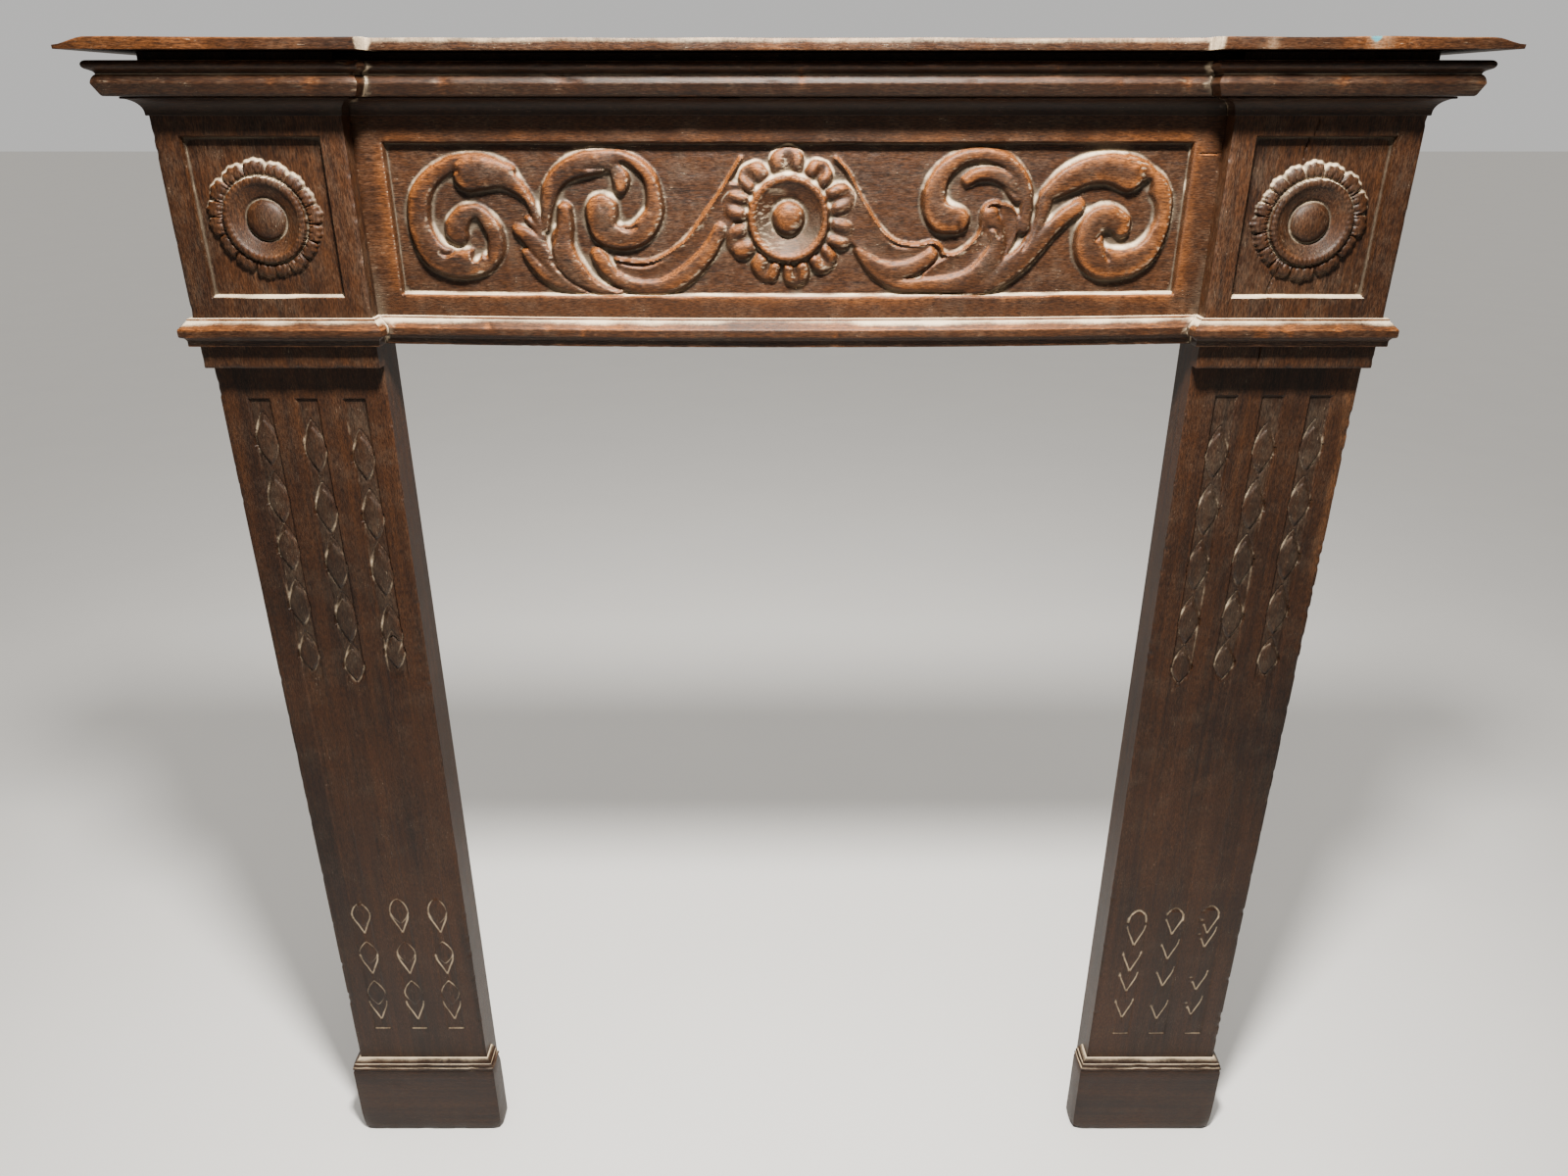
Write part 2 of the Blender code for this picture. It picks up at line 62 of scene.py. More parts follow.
# Places taken from the frame, in metres
SHELF_LOW, SHELF_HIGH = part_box("shelf")
FRIEZE_LOW, FRIEZE_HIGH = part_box("frieze")
SHAFT_LOW, SHAFT_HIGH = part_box("shaft_right")
BLOCK_LOW, BLOCK_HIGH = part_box("capital_right")
RAIL_LOW, RAIL_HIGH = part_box("rail_centre")
BED_LOW, BED_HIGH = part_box("bed_centre")
CROWN_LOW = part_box("crown_centre")[0]
FACE_Y = 0.0
BLOCK_FACE_Y = -0.022
# How much further back the leg boards go than their solids
LEG_BACKING = 0.024
# The bed moulding goes up to the crown, but for this gap
CLEARANCE = 0.0002
BED_RISE = CROWN_LOW.z - BED_HIGH.z - CLEARANCE
# Where the shelf's front edge steps back between the blocks, and how far it comes there
SHELF_STEP_X = 0.402
SHELF_MIDDLE_Y = -0.050
# Where a spot of old paint is on that edge
SHELF_PAINT_X = 0.546

# Lights: their tint, and what the ones with a fixed place point at, in metres
LAMP_TINT = (1.0, 0.95, 0.87)
LAMP_TARGET = (0, 0, 1.05)
FILL_PLACE = (0, -3.2, 1.9)
FILL_TARGET = (0, 0, 0.75)
OVERHEAD_PLACE = (0, 0, 4)
SKY_TINT = (1.0, 0.99, 0.97, 1)
SKY_SEEN = 0.62

# Sunk panels in millimetres: the left or inner side, the right or outer side, foot and top
FRIEZE_PANEL = (-416.0, 416.0, 1250.0, 1402.0)
BLOCK_PANEL = (469.5, 611.0, 1249.0, 1408.0)
# Grid spacing at the arrises of the boards and at the walls of the panels, in millimetres
ARRIS_GRID = 0.8
WALL_GRID = 0.7
# Rows of the legs' grid in millimetres: from, to and spacing, fine only where the husks are
LEG_ROWS = [(0, 1, ARRIS_GRID), (1, 130, 14), (130, 181, 6), (181, 437, 1.3), (437, 765, 7),
            (765, 1141, 1.3), (1141, 1176, 6)]
# Foot and top of the flutes in millimetres
FLUTE_ENDS = {"left": (194.0, 1136.0), "right": (184.0, 1139.0)}
# How deep the flutes are at the foot, as a share of their depth at the top
LOW_FLUTE = 0.4
# Heights in millimetres: between the two chains of husks, and above it lower husks have round tops
BETWEEN_HUSKS = 500
ROUND_TOPS = 400
# Size of the square of random values behind the unevenness
LATTICE = 64
# Half a degree in radians, about
HALF_DEGREE = 0.0087

# Frieze scrolls: each roll is a line of (x, z, half width) in millimetres
FRIEZE_ROLLS = [
    # left outer scroll, from its root to the broken tip, and on from behind it into the eye
    [(-258, 1308, 3), (-265.5, 1330, 5.5), (-274, 1350, 6), (-296, 1369.5, 12.5),
     (-315, 1372.5, 16.5), (-332, 1371, 17)],
    [(-290, 1374, 8), (-308, 1382, 8), (-326, 1384.5, 8), (-342, 1382.5, 8.5),
     (-359, 1375.5, 9.5), (-376, 1363, 10.6), (-385.5, 1347, 12.5), (-389, 1326, 13),
     (-384.5, 1306, 14.5), (-374, 1290, 16), (-355, 1282.5, 15.7), (-337, 1283, 15),
     (-320, 1282, 8), (-311.5, 1295, 9.7), (-310, 1309, 10), (-315, 1323, 10),
     (-327, 1335, 7.5), (-341.5, 1331.5, 10.5), (-351, 1318, 13), (-349, 1312, 11)],
    # left leaves
    [(-286, 1316, 6.5), (-277, 1311, 9), (-266, 1300, 10), (-255, 1285, 9), (-243, 1271, 8),
     (-228, 1260, 6), (-212, 1254, 3)],
    [(-278, 1293, 6.5), (-271, 1283, 7.5), (-261, 1273, 8), (-248, 1263.5, 7), (-232, 1257, 5),
     (-215, 1253, 3)],
    [(-274, 1327, 4.5), (-266, 1318, 5), (-258, 1303, 4), (-250, 1288, 3)],
    [(-235, 1337, 8.5), (-236, 1322, 10), (-240, 1305, 13), (-238, 1290, 15), (-229, 1276, 14),
     (-216, 1264, 10), (-200, 1257, 7), (-180, 1254, 4)],
    # left inner scroll and its hanging leaf
    [(-256, 1318, 5), (-253, 1340, 8), (-246, 1360, 10), (-232, 1374, 11), (-211, 1382, 13),
     (-190, 1385, 11.5), (-172, 1388.5, 6.5), (-155, 1380, 7), (-144.5, 1368, 8),
     (-140.5, 1352, 9.3), (-141, 1335, 11), (-150, 1321, 13), (-162, 1312, 12.7),
     (-180, 1310.5, 13.5), (-195, 1317, 14.5), (-196, 1334, 18), (-194, 1338, 16)],
    [(-186, 1381, 5), (-178, 1375, 8), (-174, 1366, 10), (-175, 1359, 8)],
    # left stem
    [(-72, 1318, 8), (-82, 1300, 9), (-97, 1283, 10), (-115, 1269, 10.5), (-135, 1260.5, 9),
     (-155, 1259.5, 8.5), (-170, 1262, 8), (-183, 1268, 8.5), (-193, 1277, 9),
     (-200, 1287, 9.5), (-203, 1292, 8.5)],
    # right stem and the second roll
    [(74, 1297, 5), (90, 1284, 8), (108, 1277, 9.5), (126, 1277.5, 9.5), (142, 1284, 9),
     (152, 1291, 8.5)],
    [(76, 1292, 4), (88, 1279, 6), (104, 1268.5, 7), (124, 1262, 7.5), (150, 1262, 8.5),
     (172, 1262.5, 10), (192, 1266, 12), (208, 1276, 13), (218, 1290, 12), (222, 1303, 10),
     (219, 1318, 9.5), (213, 1331, 9.5)],
    # right inner scroll and its inner leaf
    [(249, 1320, 8), (250, 1345, 8), (246, 1362, 7.5), (236, 1376, 8), (222, 1386, 8),
     (203, 1390, 7.5), (185, 1389, 7.5), (169, 1381, 9), (158, 1369, 11), (153, 1354, 13),
     (154, 1341, 14.5), (162, 1330, 16), (178, 1327, 14)],
    [(240, 1350, 8), (228, 1365, 8.5), (212, 1372, 8), (196, 1371, 7.5), (186, 1365, 6.5)],
    # right outer scroll, in front of its broken tip and behind it
    [(262, 1340, 4), (270, 1351, 8), (291, 1366, 13.5), (312, 1375, 14.5), (335, 1377, 16),
     (354, 1371, 17)],
    [(300, 1376, 8), (322, 1384, 8), (344, 1384.5, 8), (361, 1380, 8.5), (375, 1370, 9.5),
     (385, 1360, 11.3), (393.5, 1345, 10), (395, 1328, 9.3), (391, 1311, 10.8),
     (383, 1296, 13), (370, 1286, 15), (352, 1282.5, 16.7), (334, 1284, 17), (322, 1294, 17),
     (319, 1311, 16), (324, 1325, 14.5), (337, 1329, 14), (349, 1324, 12.5), (352, 1319, 11)],
    # right leaves
    [(304, 1339, 8.5), (292, 1331, 9), (278, 1318, 9.5), (264, 1303, 11), (249, 1289, 13),
     (232, 1275, 13), (214, 1264, 11.5), (195, 1258, 9)],
    [(270, 1345, 8), (266, 1330, 8), (262, 1315, 8), (254, 1298, 9), (243, 1284, 9)],
]

# Hollow sheets of the stems: (x, z, half width) along the middle of each
FRIEZE_CUPS = [
    [(-58, 1352, 13), (-72, 1330, 17), (-86, 1311, 17), (-100, 1296, 16), (-116, 1284, 14),
     (-134, 1275, 12), (-152, 1271.5, 10), (-170, 1274, 8), (-182, 1280, 5)],
    [(56, 1352, 12), (68, 1331, 17), (80, 1314, 17), (95, 1300, 14), (110, 1293, 11),
     (126, 1291.5, 9), (142, 1295, 7), (152, 1299, 4)],
    [(150, 1270, 7), (168, 1278, 12), (184, 1283, 12), (196, 1291, 12), (206, 1303, 10),
     (210, 1318, 8), (215, 1333, 8)],
    [(228, 1338, 6), (233, 1320, 10), (228, 1302, 10), (220, 1285, 6)],
]

# Thin raised rims at the free edges of those sheets: (x, z)
FRIEZE_RIMS = [
    [(-49, 1386.5), (-64, 1364), (-79, 1343), (-94, 1323.5), (-109, 1307), (-125.5, 1295),
     (-142, 1286.8), (-157, 1284.5), (-175, 1286), (-184, 1287.5)],
    [(49, 1386.5), (61, 1374.5), (71.5, 1356.5), (82, 1340), (92.5, 1325), (104.5, 1311.5),
     (118, 1304), (133, 1301.8), (145, 1303), (154, 1304.8), (161.5, 1300), (164.5, 1293.5)],
    [(164.5, 1292.8), (175, 1292), (184, 1295), (193, 1301.8), (200.5, 1310), (205, 1319),
     (204.3, 1331), (208, 1340), (217, 1343.8), (224.5, 1341.5)],
    [(226, 1342), (235, 1338.5), (241, 1329.5), (242.5, 1319), (239.5, 1308.5),
     (233.5, 1295), (224.5, 1281.5)],
]

# Veins and gouge cuts: (x, z, half width) and how deep
FRIEZE_VEINS = [
    (3.2, [(-342, 1375, 1.6), (-360, 1365.5, 1.6), (-369, 1353.5, 1.6), (-375, 1341.5, 1.6)]),
    (3.0, [(-369, 1294, 1.5), (-364.5, 1291, 1.8), (-358.5, 1293, 1.8), (-352.5, 1298, 1.8),
           (-345, 1301, 2)]),
    (2.6, [(-253.5, 1287.5, 1.5), (-246, 1277, 1.6), (-235.5, 1266.5, 1.6),
           (-220.5, 1257.5, 1.6), (-207, 1253, 1.4)]),
    (3.4, [(-245, 1328, 1.7), (-247, 1312, 1.7), (-252, 1298, 1.7), (-248, 1284, 1.5)]),
    (2.4, [(-210, 1377, 1.4), (-199, 1376.8, 1.6), (-191.5, 1377.5, 1.6), (-187.8, 1373, 1.6)]),
    (3.0, [(-178, 1329.5, 1.8), (-176.5, 1322, 2), (-169, 1317.5, 2), (-160, 1320.5, 1.6)]),
    (2.2, [(-211, 1285, 1.3), (-207, 1274, 1.4), (-198, 1263, 1.4), (-184, 1255, 1.2)]),
    (2.2, [(-207, 1285, 1.2), (-203, 1274, 1.3), (-194, 1264, 1.3), (-182, 1257, 1.2)]),
    (2.6, [(-187, 1284.5, 1.5), (-183.5, 1277, 1.6), (-182.5, 1273, 1.4)]),
    (2.8, [(326, 1307, 1.5), (330.5, 1311.5, 1.7), (335.8, 1310, 1.7), (337, 1304, 1.8),
           (336.5, 1295, 1.8), (341, 1286.8, 1.6)]),
    (2.6, [(341.8, 1296.5, 1.5), (356, 1299.5, 1.8), (366.5, 1302.5, 1.6)]),
    (2.6, [(261.5, 1331, 1.5), (258.5, 1319, 1.6), (254, 1307, 1.6), (249.5, 1298, 1.5)]),
    (3.0, [(212.5, 1319, 1.8), (218.5, 1319, 1.8), (222.3, 1314.5, 1.8), (222.3, 1310, 1.6)]),
    (3.2, [(181, 1311.5, 2), (181.8, 1316.8, 2), (181, 1324, 1.5)]),
    (2.4, [(236, 1352, 1.4), (226, 1359, 1.6), (212, 1364, 1.6), (196, 1364, 1.5)]),
]

# Places cut right down to the ground, in the eyes and at the broken tips
FRIEZE_HOLLOWS = [
    [(-333, 1288, 3.5), (-330, 1297, 6.5), (-326, 1305, 6.5), (-330, 1311, 3.5)],
    [(-350.5, 1364.5, 3.6), (-351, 1358, 4.0), (-350.5, 1350, 4.0)],
    [(347, 1305, 3.0), (353, 1304.5, 4.0), (360, 1305, 2.6)],
    [(374.5, 1364, 3.0), (375, 1357, 3.6), (374, 1349, 3.8)],
    [(-196, 1359, 2.5), (-188, 1360, 2.5), (-187.5, 1352, 2.0)],
]

# Petals: clockwise degrees from the top, and the radius of the tip in millimetres
FRIEZE_PETALS = [(0, 71), (37, 68), (70, 74), (107, 74), (137, 70), (172, 70), (204, 69),
                 (247, 72), (284, 72), (314, 70)]
LEFT_PETALS = [(-3, 59), (22, 58.5), (45, 58), (64, 57), (84, 59), (106, 57), (124, 56.5),
               (151, 58), (170, 57.5), (188, 60), (215, 58), (239, 58), (266, 61), (281, 61),
               (302, 61), (330, 59)]
RIGHT_PETALS = [(-6, 60), (17, 58.5), (43, 60), (68, 60), (94, 60), (118, 56), (148, 58),
                (180, 60), (206, 60), (230, 57), (248, 58), (268, 61), (285, 60), (297, 58),
                (313, 60), (332, 60)]

# Radii in millimetres of a rosette's boss, of its ring and of the notches between its petals
FRIEZE_ROSETTE = (17.5, 43.0, 50.0)
BLOCK_ROSETTE = (20.0, 42.5, 53.5)
# Half the width of the thin rims
RIM_HALF = 2.6
# Middle of each block's rosette and its petals
BLOCK_ROSETTES = {"left": ((-540.5, 1327.5), LEFT_PETALS), "right": ((541, 1325), RIGHT_PETALS)}

# Husks in the flutes: where each flute is, then (top, tip) of its upper husks and (top, tip, tip of
# the leaves round it) of its lower ones, in millimetres
LEFT_FLUTES = [
    (-594.0, [(1112, 1059), (1041, 989), (978, 927), (906, 854), (836, 790)],
     [(424, 384, 371), (357, 317, 297), (285, 240, 211)]),
    (-540.5, [(1103, 1050), (1029, 976), (961, 903), (889, 831), (820, 775)],
     [(432, 389, 372), (357, 317, 297), (285, 240, 211)]),
    (-487.0, [(1092, 1040), (1020, 966), (954, 893), (872, 812), (838, 793)],
     [(432, 389, 372), (357, 317, 297), (285, 240, 211)]),
]
RIGHT_FLUTES = [
    (492.0, [(1096, 1043), (1027, 973), (957, 901), (884, 829), (816, 772)], []),
    (544.5, [(1100, 1049), (1033, 979), (964, 908), (891, 836), (823, 778)], []),
    (598.0, [(1104, 1052), (1036, 984), (970, 914), (899, 842), (828, 784)], []),
]
# Foot of the right leg: middle and top of each flute, then the tips of its gouged arrowheads
RIGHT_ARROWS = [(490.0, 412, [350, 303, 265, 215]), (541.0, 416, [370, 325, 275, 212]),
                (590.0, 420, [372, 347, 268, 220])]


def wobble(u, v, cell, seed):
    """Smooth random unevenness between -1 and 1 over a plane, in patches of about one cell."""
    lattice = np.random.default_rng(seed).uniform(-1, 1, (LATTICE, LATTICE))
    a = np.asarray(u) / cell
    b = np.asarray(v) / cell
    i = np.floor(a).astype(int)
    j = np.floor(b).astype(int)
    s = (a - i) ** 2 * (3 - 2 * (a - i))
    t = (b - j) ** 2 * (3 - 2 * (b - j))
    left, right = i % LATTICE, (i + 1) % LATTICE
    low, high = j % LATTICE, (j + 1) % LATTICE
    near = lattice[left, low] * (1 - t) + lattice[left, high] * t
    far = lattice[right, low] * (1 - t) + lattice[right, high] * t
    return near * (1 - s) + far * s


def eased_step(value, low, high):
    """0 below low, 1 above high, and a smooth rise between them."""
    share = np.clip((value - low) / (high - low), 0, 1)
    return share * share * (3 - 2 * share)


def ridge(value, at, width):
    """1 where the value is at a place, and falling away to both sides of it."""
    return np.exp(-((value - at) / width) ** 2)


def softened(values, passes):
    """The values with each one drawn towards its neighbours, a number of times."""
    for _ in range(passes):
        wide = np.pad(values, 1, mode="edge")
        values = (wide[:-2, 1:-1] + 2 * wide[1:-1, 1:-1] + wide[2:, 1:-1]) / 4
        wide = np.pad(values, 1, mode="edge")
        values = (wide[1:-1, :-2] + 2 * wide[1:-1, 1:-1] + wide[1:-1, 2:]) / 4
    return values


def ruled(*spans):
    """Grid lines from spans of (start, end, spacing), with no line twice."""
    lines = [np.linspace(a, b, max(2, int(round((b - a) / gap)) + 1)) for a, b, gap in spans]
    return np.unique(np.round(np.concatenate(lines), 4))


def panel_columns(start, end, left, right, plain, grid, margin):
    """Spans across a board: the grid in its sunk panel, fine at the walls, plain outside."""
    return [(start, start + 1, ARRIS_GRID), (start + 1, left - 1, plain),
            (left - 1, left + margin, WALL_GRID), (left + margin, right - margin, grid),
            (right - margin, right + 1, WALL_GRID), (right + 1, end - 1, plain),
            (end - 1, end, ARRIS_GRID)]


def panel_rows(foot, top, below, above, grid, margin, high):
    """Spans up a board from the rail to its top, fine at the foot and the top of its panel."""
    rail = RAIL_HIGH.z / MM
    bed = BED_LOW.z / MM
    return [(rail, foot - 1, below), (foot - 1, foot + 4, WALL_GRID),
            (foot + 4, top - margin, grid), (top - margin, top + 1, WALL_GRID),
            (top + 1, bed, above), (bed, high, 14)]


def smooth_path(points, cuts=4):
    """A smooth curve through traced points, in short straight steps."""
    path = np.array(points, float)
    padded = np.vstack([2 * path[0] - path[1], path, 2 * path[-1] - path[-2]])
    steps = []
    for a, b, c, d in zip(padded, padded[1:], padded[2:], padded[3:]):
        for t in np.arange(cuts) / cuts:
            bend = 2 * b + (c - a) * t + (2 * a - 5 * b + 4 * c - d) * t * t
            steps.append((bend + (3 * b - a - 3 * c + d) * t ** 3) / 2)
    steps.append(path[-1])
    return np.array(steps)


def dish(radius, turn, boss, ring, rise):
    """Heights of a rosette's boss, the hollow round it and the tool-cut crest of its ring."""
    inner = ring - 7.5
    dome = np.sqrt(np.clip(1 - (radius / boss) ** 2, 0, 1)) * rise * 0.86 + 0.10 * rise
    slope = np.clip((radius - boss) / (inner - boss), 0, 1)
    floor = rise * (0.12 + 0.66 * slope ** 1.15)
    crest = np.clip(1 - ((radius - (ring - 3.8)) / 4.0) ** 2, 0, 1) ** 0.6
    crest = crest * (0.86 + 0.14 * np.cos(44 * np.radians(turn)))
    bowl = np.maximum(floor * (radius < ring), rise * (0.76 + 0.24 * crest) * (radius > inner))
    bowl = bowl - 0.12 * rise * ridge(radius, boss + 1.2, 1.1)
    return np.where(radius < boss, dome, np.maximum(bowl, 0))


def petal(radius, across, ring, rim, rise, cuts, reach):
    """Heights of one petal: a dome with gouge cuts in it, and a valley at each side."""
    out = (radius - ring) / np.maximum(rim - ring, 1)
    dome = np.sqrt(np.clip(1 - np.clip(out, 0, 1) ** 3.2, 0, 1))
    humps = 0.5 - 0.5 * np.cos(2 * math.pi * across)
    heights = rise * (0.52 + 0.20 * humps * (cuts < 2) + 0.14 * (cuts > 2)) * dome
    gouged = np.clip(np.cos(cuts * math.pi * across), 0, 1) ** 2
    gouged = gouged * (1 - eased_step(out, *reach)) * (np.abs(across) < 0.8)
    valley = eased_step(np.abs(across), 0.80, 1.0) * 0.24
    heights = heights - (gouged * 0.17 + valley) * rise
    heights = heights * (0.62 + 0.38 * eased_step(out, 0.05, 0.30))
    return np.maximum(heights, 0) * eased_step(rim - radius, -0.4, 2.0)


class Relief:
    """The front of a carved board on a ruled grid, in millimetres, with its dust and wear."""

    def __init__(self, xs, zs):
        self.xs = xs
        self.zs = zs
        self.x, self.z = np.meshgrid(xs, zs, indexing="ij")
        self.height = np.zeros(self.x.shape)
        self.dust = np.zeros(self.x.shape)
        self.film = np.zeros(self.x.shape)
        self.calm = np.ones(self.x.shape)

    def lay_dust(self, amount):
        """Pale dust, at least this much."""
        self.dust = np.maximum(self.dust, amount)

    def lay_film(self, amount):
        """Grey film, at least this much."""
        self.film = np.maximum(self.film, amount)

    def reach(self, points):
        """Distance from a line as a share of its half width there, and that half width."""
        share = np.full(self.x.shape, 9.0)
        width = np.ones(self.x.shape)
        path = smooth_path(points)
        for (x0, z0, w0), (x1, z1, w1) in zip(path, path[1:]):
            wide = 1.3 * max(w0, w1)
            columns = slice(*np.searchsorted(self.xs, (min(x0, x1) - wide, max(x0, x1) + wide)))
            rows = slice(*np.searchsorted(self.zs, (min(z0, z1) - wide, max(z0, z1) + wide)))
            x = self.x[columns, rows] - x0
            z = self.z[columns, rows] - z0
            dx = x1 - x0
            dz = z1 - z0
            along = np.clip((x * dx + z * dz) / (dx * dx + dz * dz + 1e-9), 0, 1)
            half = np.maximum(w0 + (w1 - w0) * along, 0.3)
            here = np.hypot(x - along * dx, z - along * dz) / half
            nearer = here < share[columns, rows]
            share[columns, rows] = np.where(nearer, here, share[columns, rows])
            width[columns, rows] = np.where(nearer, half, width[columns, rows])
        return share, width

    def lay(self, share, width, ground, shape):
        """Lays a shape on the ground within a line's width, with steep sides."""
        wall = eased_step((1 - share) * width, -0.4, 2.5)
        laid = np.maximum(self.height, ground + shape * wall)
        self.height = np.where(share < 1, laid, self.height)

    def roll(self, points, base, gain, ground):
        """A rounded bar laid on the ground."""
        share, width = self.reach(points)
        crown = 0.55 + 0.45 * np.sqrt(np.clip(1 - share ** 2, 0, 1))
        self.lay(share, width, ground, (base + gain * width) * crown)

    def cup(self, points, low, rise, ground):
        """A hollow sheet, lowest along its middle."""
        share, width = self.reach(points)
        self.lay(share, width, ground, low + rise * share ** 2)

    def groove(self, points, depth, floor=-99.0):
        """A gouge cut with a round bottom."""
        share = self.reach(points)[0]
        cut = np.clip(1 - share ** 2, 0, 1) * depth
        lowered = np.maximum(self.height - cut, np.minimum(self.height, floor))
        self.height = np.where(share < 1, lowered, self.height)

    def hollow(self, points, ground):
        """A place cut down to the ground with steep walls."""
        share = self.reach(points)[0]
        sunk = ground + (self.height - ground) * eased_step(share, 0.72, 1.0)
        self.height = np.where(share < 1, np.minimum(self.height, sunk), self.height)

    def rosette(self, middle, petals, sizes, ground, cuts, reach=(0.45, 0.85)):
        """A turned dish with a boss in it, and petals round it, their rims ruffled by the cuts."""
        boss, ring, notch, rise = sizes
        film, ruffle = (0.3, 0.9) if cuts > 2 else (0.7, 0.4)
        x = self.x - middle[0]
        z = self.z - middle[1]
        radius = np.hypot(x, z)
        turn = np.degrees(np.arctan2(x, z)) % 360
        upward = z / np.maximum(radius, 1)
        shape = dish(radius, turn, boss, ring, rise)
        low_side = 0.35 + 0.65 * eased_step(-upward, -0.7, 0.6)
        self.lay_film(film * (radius > boss) * (radius < ring - 7) * low_side)
        foot = ridge(radius, boss + 0.6, 1.1) + ridge(radius, ring + 1, 1.0)
        self.lay_dust(0.62 * foot * low_side)
        lit = 0.25 + 0.75 * eased_step(upward, -0.5, 0.9)
        order = sorted((angle % 360, tip) for angle, tip in petals)
        for index, (angle, tip) in enumerate(order):
            before = (angle - order[index - 1][0]) % 360 / 2
            after = (order[(index + 1) % len(order)][0] - angle) % 360 / 2
            off = (turn - angle + 180) % 360 - 180
            across = np.where(off < 0, off / before, off / after)
            mine = (np.abs(across) <= 1) & (radius >= ring)
            rim = notch + (tip - notch) * np.sqrt(np.clip(1 - across ** 2, 0, 1))
            rim = rim + ruffle * np.cos(3 * math.pi * across)
            shape = np.where(mine, petal(radius, across, ring, rim, rise, cuts, reach), shape)
            from_seam = (np.abs(across) - 1) * (after + before) * radius * HALF_DEGREE
            seam = 0.5 * ridge(from_seam, 0, 1.2) * (radius < rim + 1)
            outline = np.maximum(ridge(rim - radius, 0.4, 1.3), seam) * mine
            # Pale outlines of the petals, heavier on the sides that face up: dust, and partly a
            # painted highlight.
            self.lay_dust(outline * lit * 0.95)
        inside = radius < max(tip for _, tip in petals) + 2
        taller = inside & (ground + shape > self.height)
        self.height = np.where(taller | (radius < ring), ground + shape, self.height)

    def settle(self, spread, strength):
        """Works out where dust lies, from hollows and ledges and as a painted highlight on walls that
        face up, where grime and painted shade lie, and where hands have rubbed.
        """
        near = softened(self.height, 4)
        broad = softened(self.height, spread)
        slope_x = np.gradient(self.height, self.xs, axis=0)
        slope_z = np.gradient(self.height, self.zs, axis=1)
        steep = np.hypot(slope_x, slope_z)
        upward = np.clip(-slope_z / (steep + 0.2), -1, 1)
        hollow = eased_step(near - self.height, 0.30, 1.25)
        wall = eased_step(steep, 1.0, 2.4)
        side = eased_step(upward, -0.3, 0.5)
        # Pale in hollows and on steep walls that face up: dust in the hollows, and on the walls dust
        # with a painted highlight.
        found = softened(np.maximum(hollow, 0.22 * wall) * side, 3) * self.calm
        self.dust = softened(np.clip(np.maximum(self.dust, 1.35 * found * strength), 0, 1), 1)
        # Hollows lower than their surroundings, and the grey film: grime, and painted shade where the
        # finish darkens them.
        self.haze = np.maximum(eased_step(broad - self.height, 0.3, 3.4), softened(self.film, 2))
        raised = eased_step(near - broad, 0.3, 2.6) * eased_step(1.4 - steep, 0, 1)
        self.wear = softened(raised, 4)

    def noisy_edges(self, seed, round_off=0.8, chips=2.4):
        """Rubs down the arris all round the board and knocks chips out of it."""
        for gap in (self.x - self.xs[0], self.xs[-1] - self.x, self.z - self.zs[0],
                    self.zs[-1] - self.z):
            seed += 1
            rough = eased_step(wobble(self.x + self.z, self.x - self.z, 14, seed), 0.25, 0.9)
            drop = (round_off + chips * rough) * np.exp(-gap / (0.9 + 1.1 * rough))
            self.height = self.height - drop


def lay_mesh(name, points, faces, marks, board, sharp=38):
    """A mesh object with its dust, haze and wear kept as attributes on its points."""
    mesh = bpy.data.meshes.new(name)
    mesh.from_pydata(points, [], faces)
    mesh.polygons.foreach_set("use_smooth", np.ones(len(mesh.polygons), bool))
    mesh.set_sharp_from_angle(angle=math.radians(sharp))
    for word, values in marks.items():
        layer = mesh.attributes.new(word, "FLOAT", "POINT")
        layer.data.foreach_set("value", np.asarray(values, np.float32))
    layer = mesh.attributes.new("board", "FLOAT", "POINT")
    layer.data.foreach_set("value", np.full(len(points), board, np.float32))
    mesh.update()
    piece = bpy.data.objects.new(name, mesh)
    bpy.context.scene.collection.objects.link(piece)
    return piece


def place_piece(piece, node, material):
    """Gives a piece its finish, and lets it stand for the node of that name in the frame."""
    piece.data.materials.append(material)
    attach(piece, BODY)
    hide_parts(node)


def board_from_relief(name, relief, front, back, board, sag=None, arris=1.6):
    """A closed board whose front is the relief, with plain edges and a flat back."""
    columns, rows = relief.x.shape
    x = relief.x * MM
    z = relief.z * MM
    dip = sag(x, z) if sag else 0 * x
    face = np.stack([x, front - relief.height * MM, z - dip], axis=-1).reshape(-1, 3)
    index = np.arange(columns * rows).reshape(columns, rows)
    quads = np.stack([index[:-1, :-1], index[1:, :-1], index[1:, 1:], index[:-1, 1:]], axis=-1)
    loop = np.concatenate([index[:-1, 0], index[-1, :-1], index[:0:-1, -1], index[0, :0:-1]])
    ring = face[loop].copy()
    ring[:, 1] = np.maximum(ring[:, 1] + 0.0006, front + arris * MM)
    rear = ring.copy()
    rear[:, 1] = back
    start = len(face)
    count = len(loop)
    turn = (np.arange(count) + 1) % count
    first = np.arange(count)
    side = np.stack([loop, start + first, start + turn, loop[turn]], axis=-1)
    edge = np.stack([start + first, start + count + first, start + count + turn, start + turn],
                    axis=-1)
    faces = quads.reshape(-1, 4).tolist() + side.tolist() + edge.tolist()
    faces.append((start + count + first).tolist())
    points = np.vstack([face, ring, rear])
    marks = {}
    for word, values in (("dust", relief.dust), ("haze", relief.haze), ("wear", relief.wear)):
        flat = values.reshape(-1)
        share = 0.5 if word == "wear" else 0.25
        marks[word] = np.concatenate([flat, flat[loop] * share, np.zeros(count)])
    return lay_mesh(name, points.tolist(), faces, marks, board)


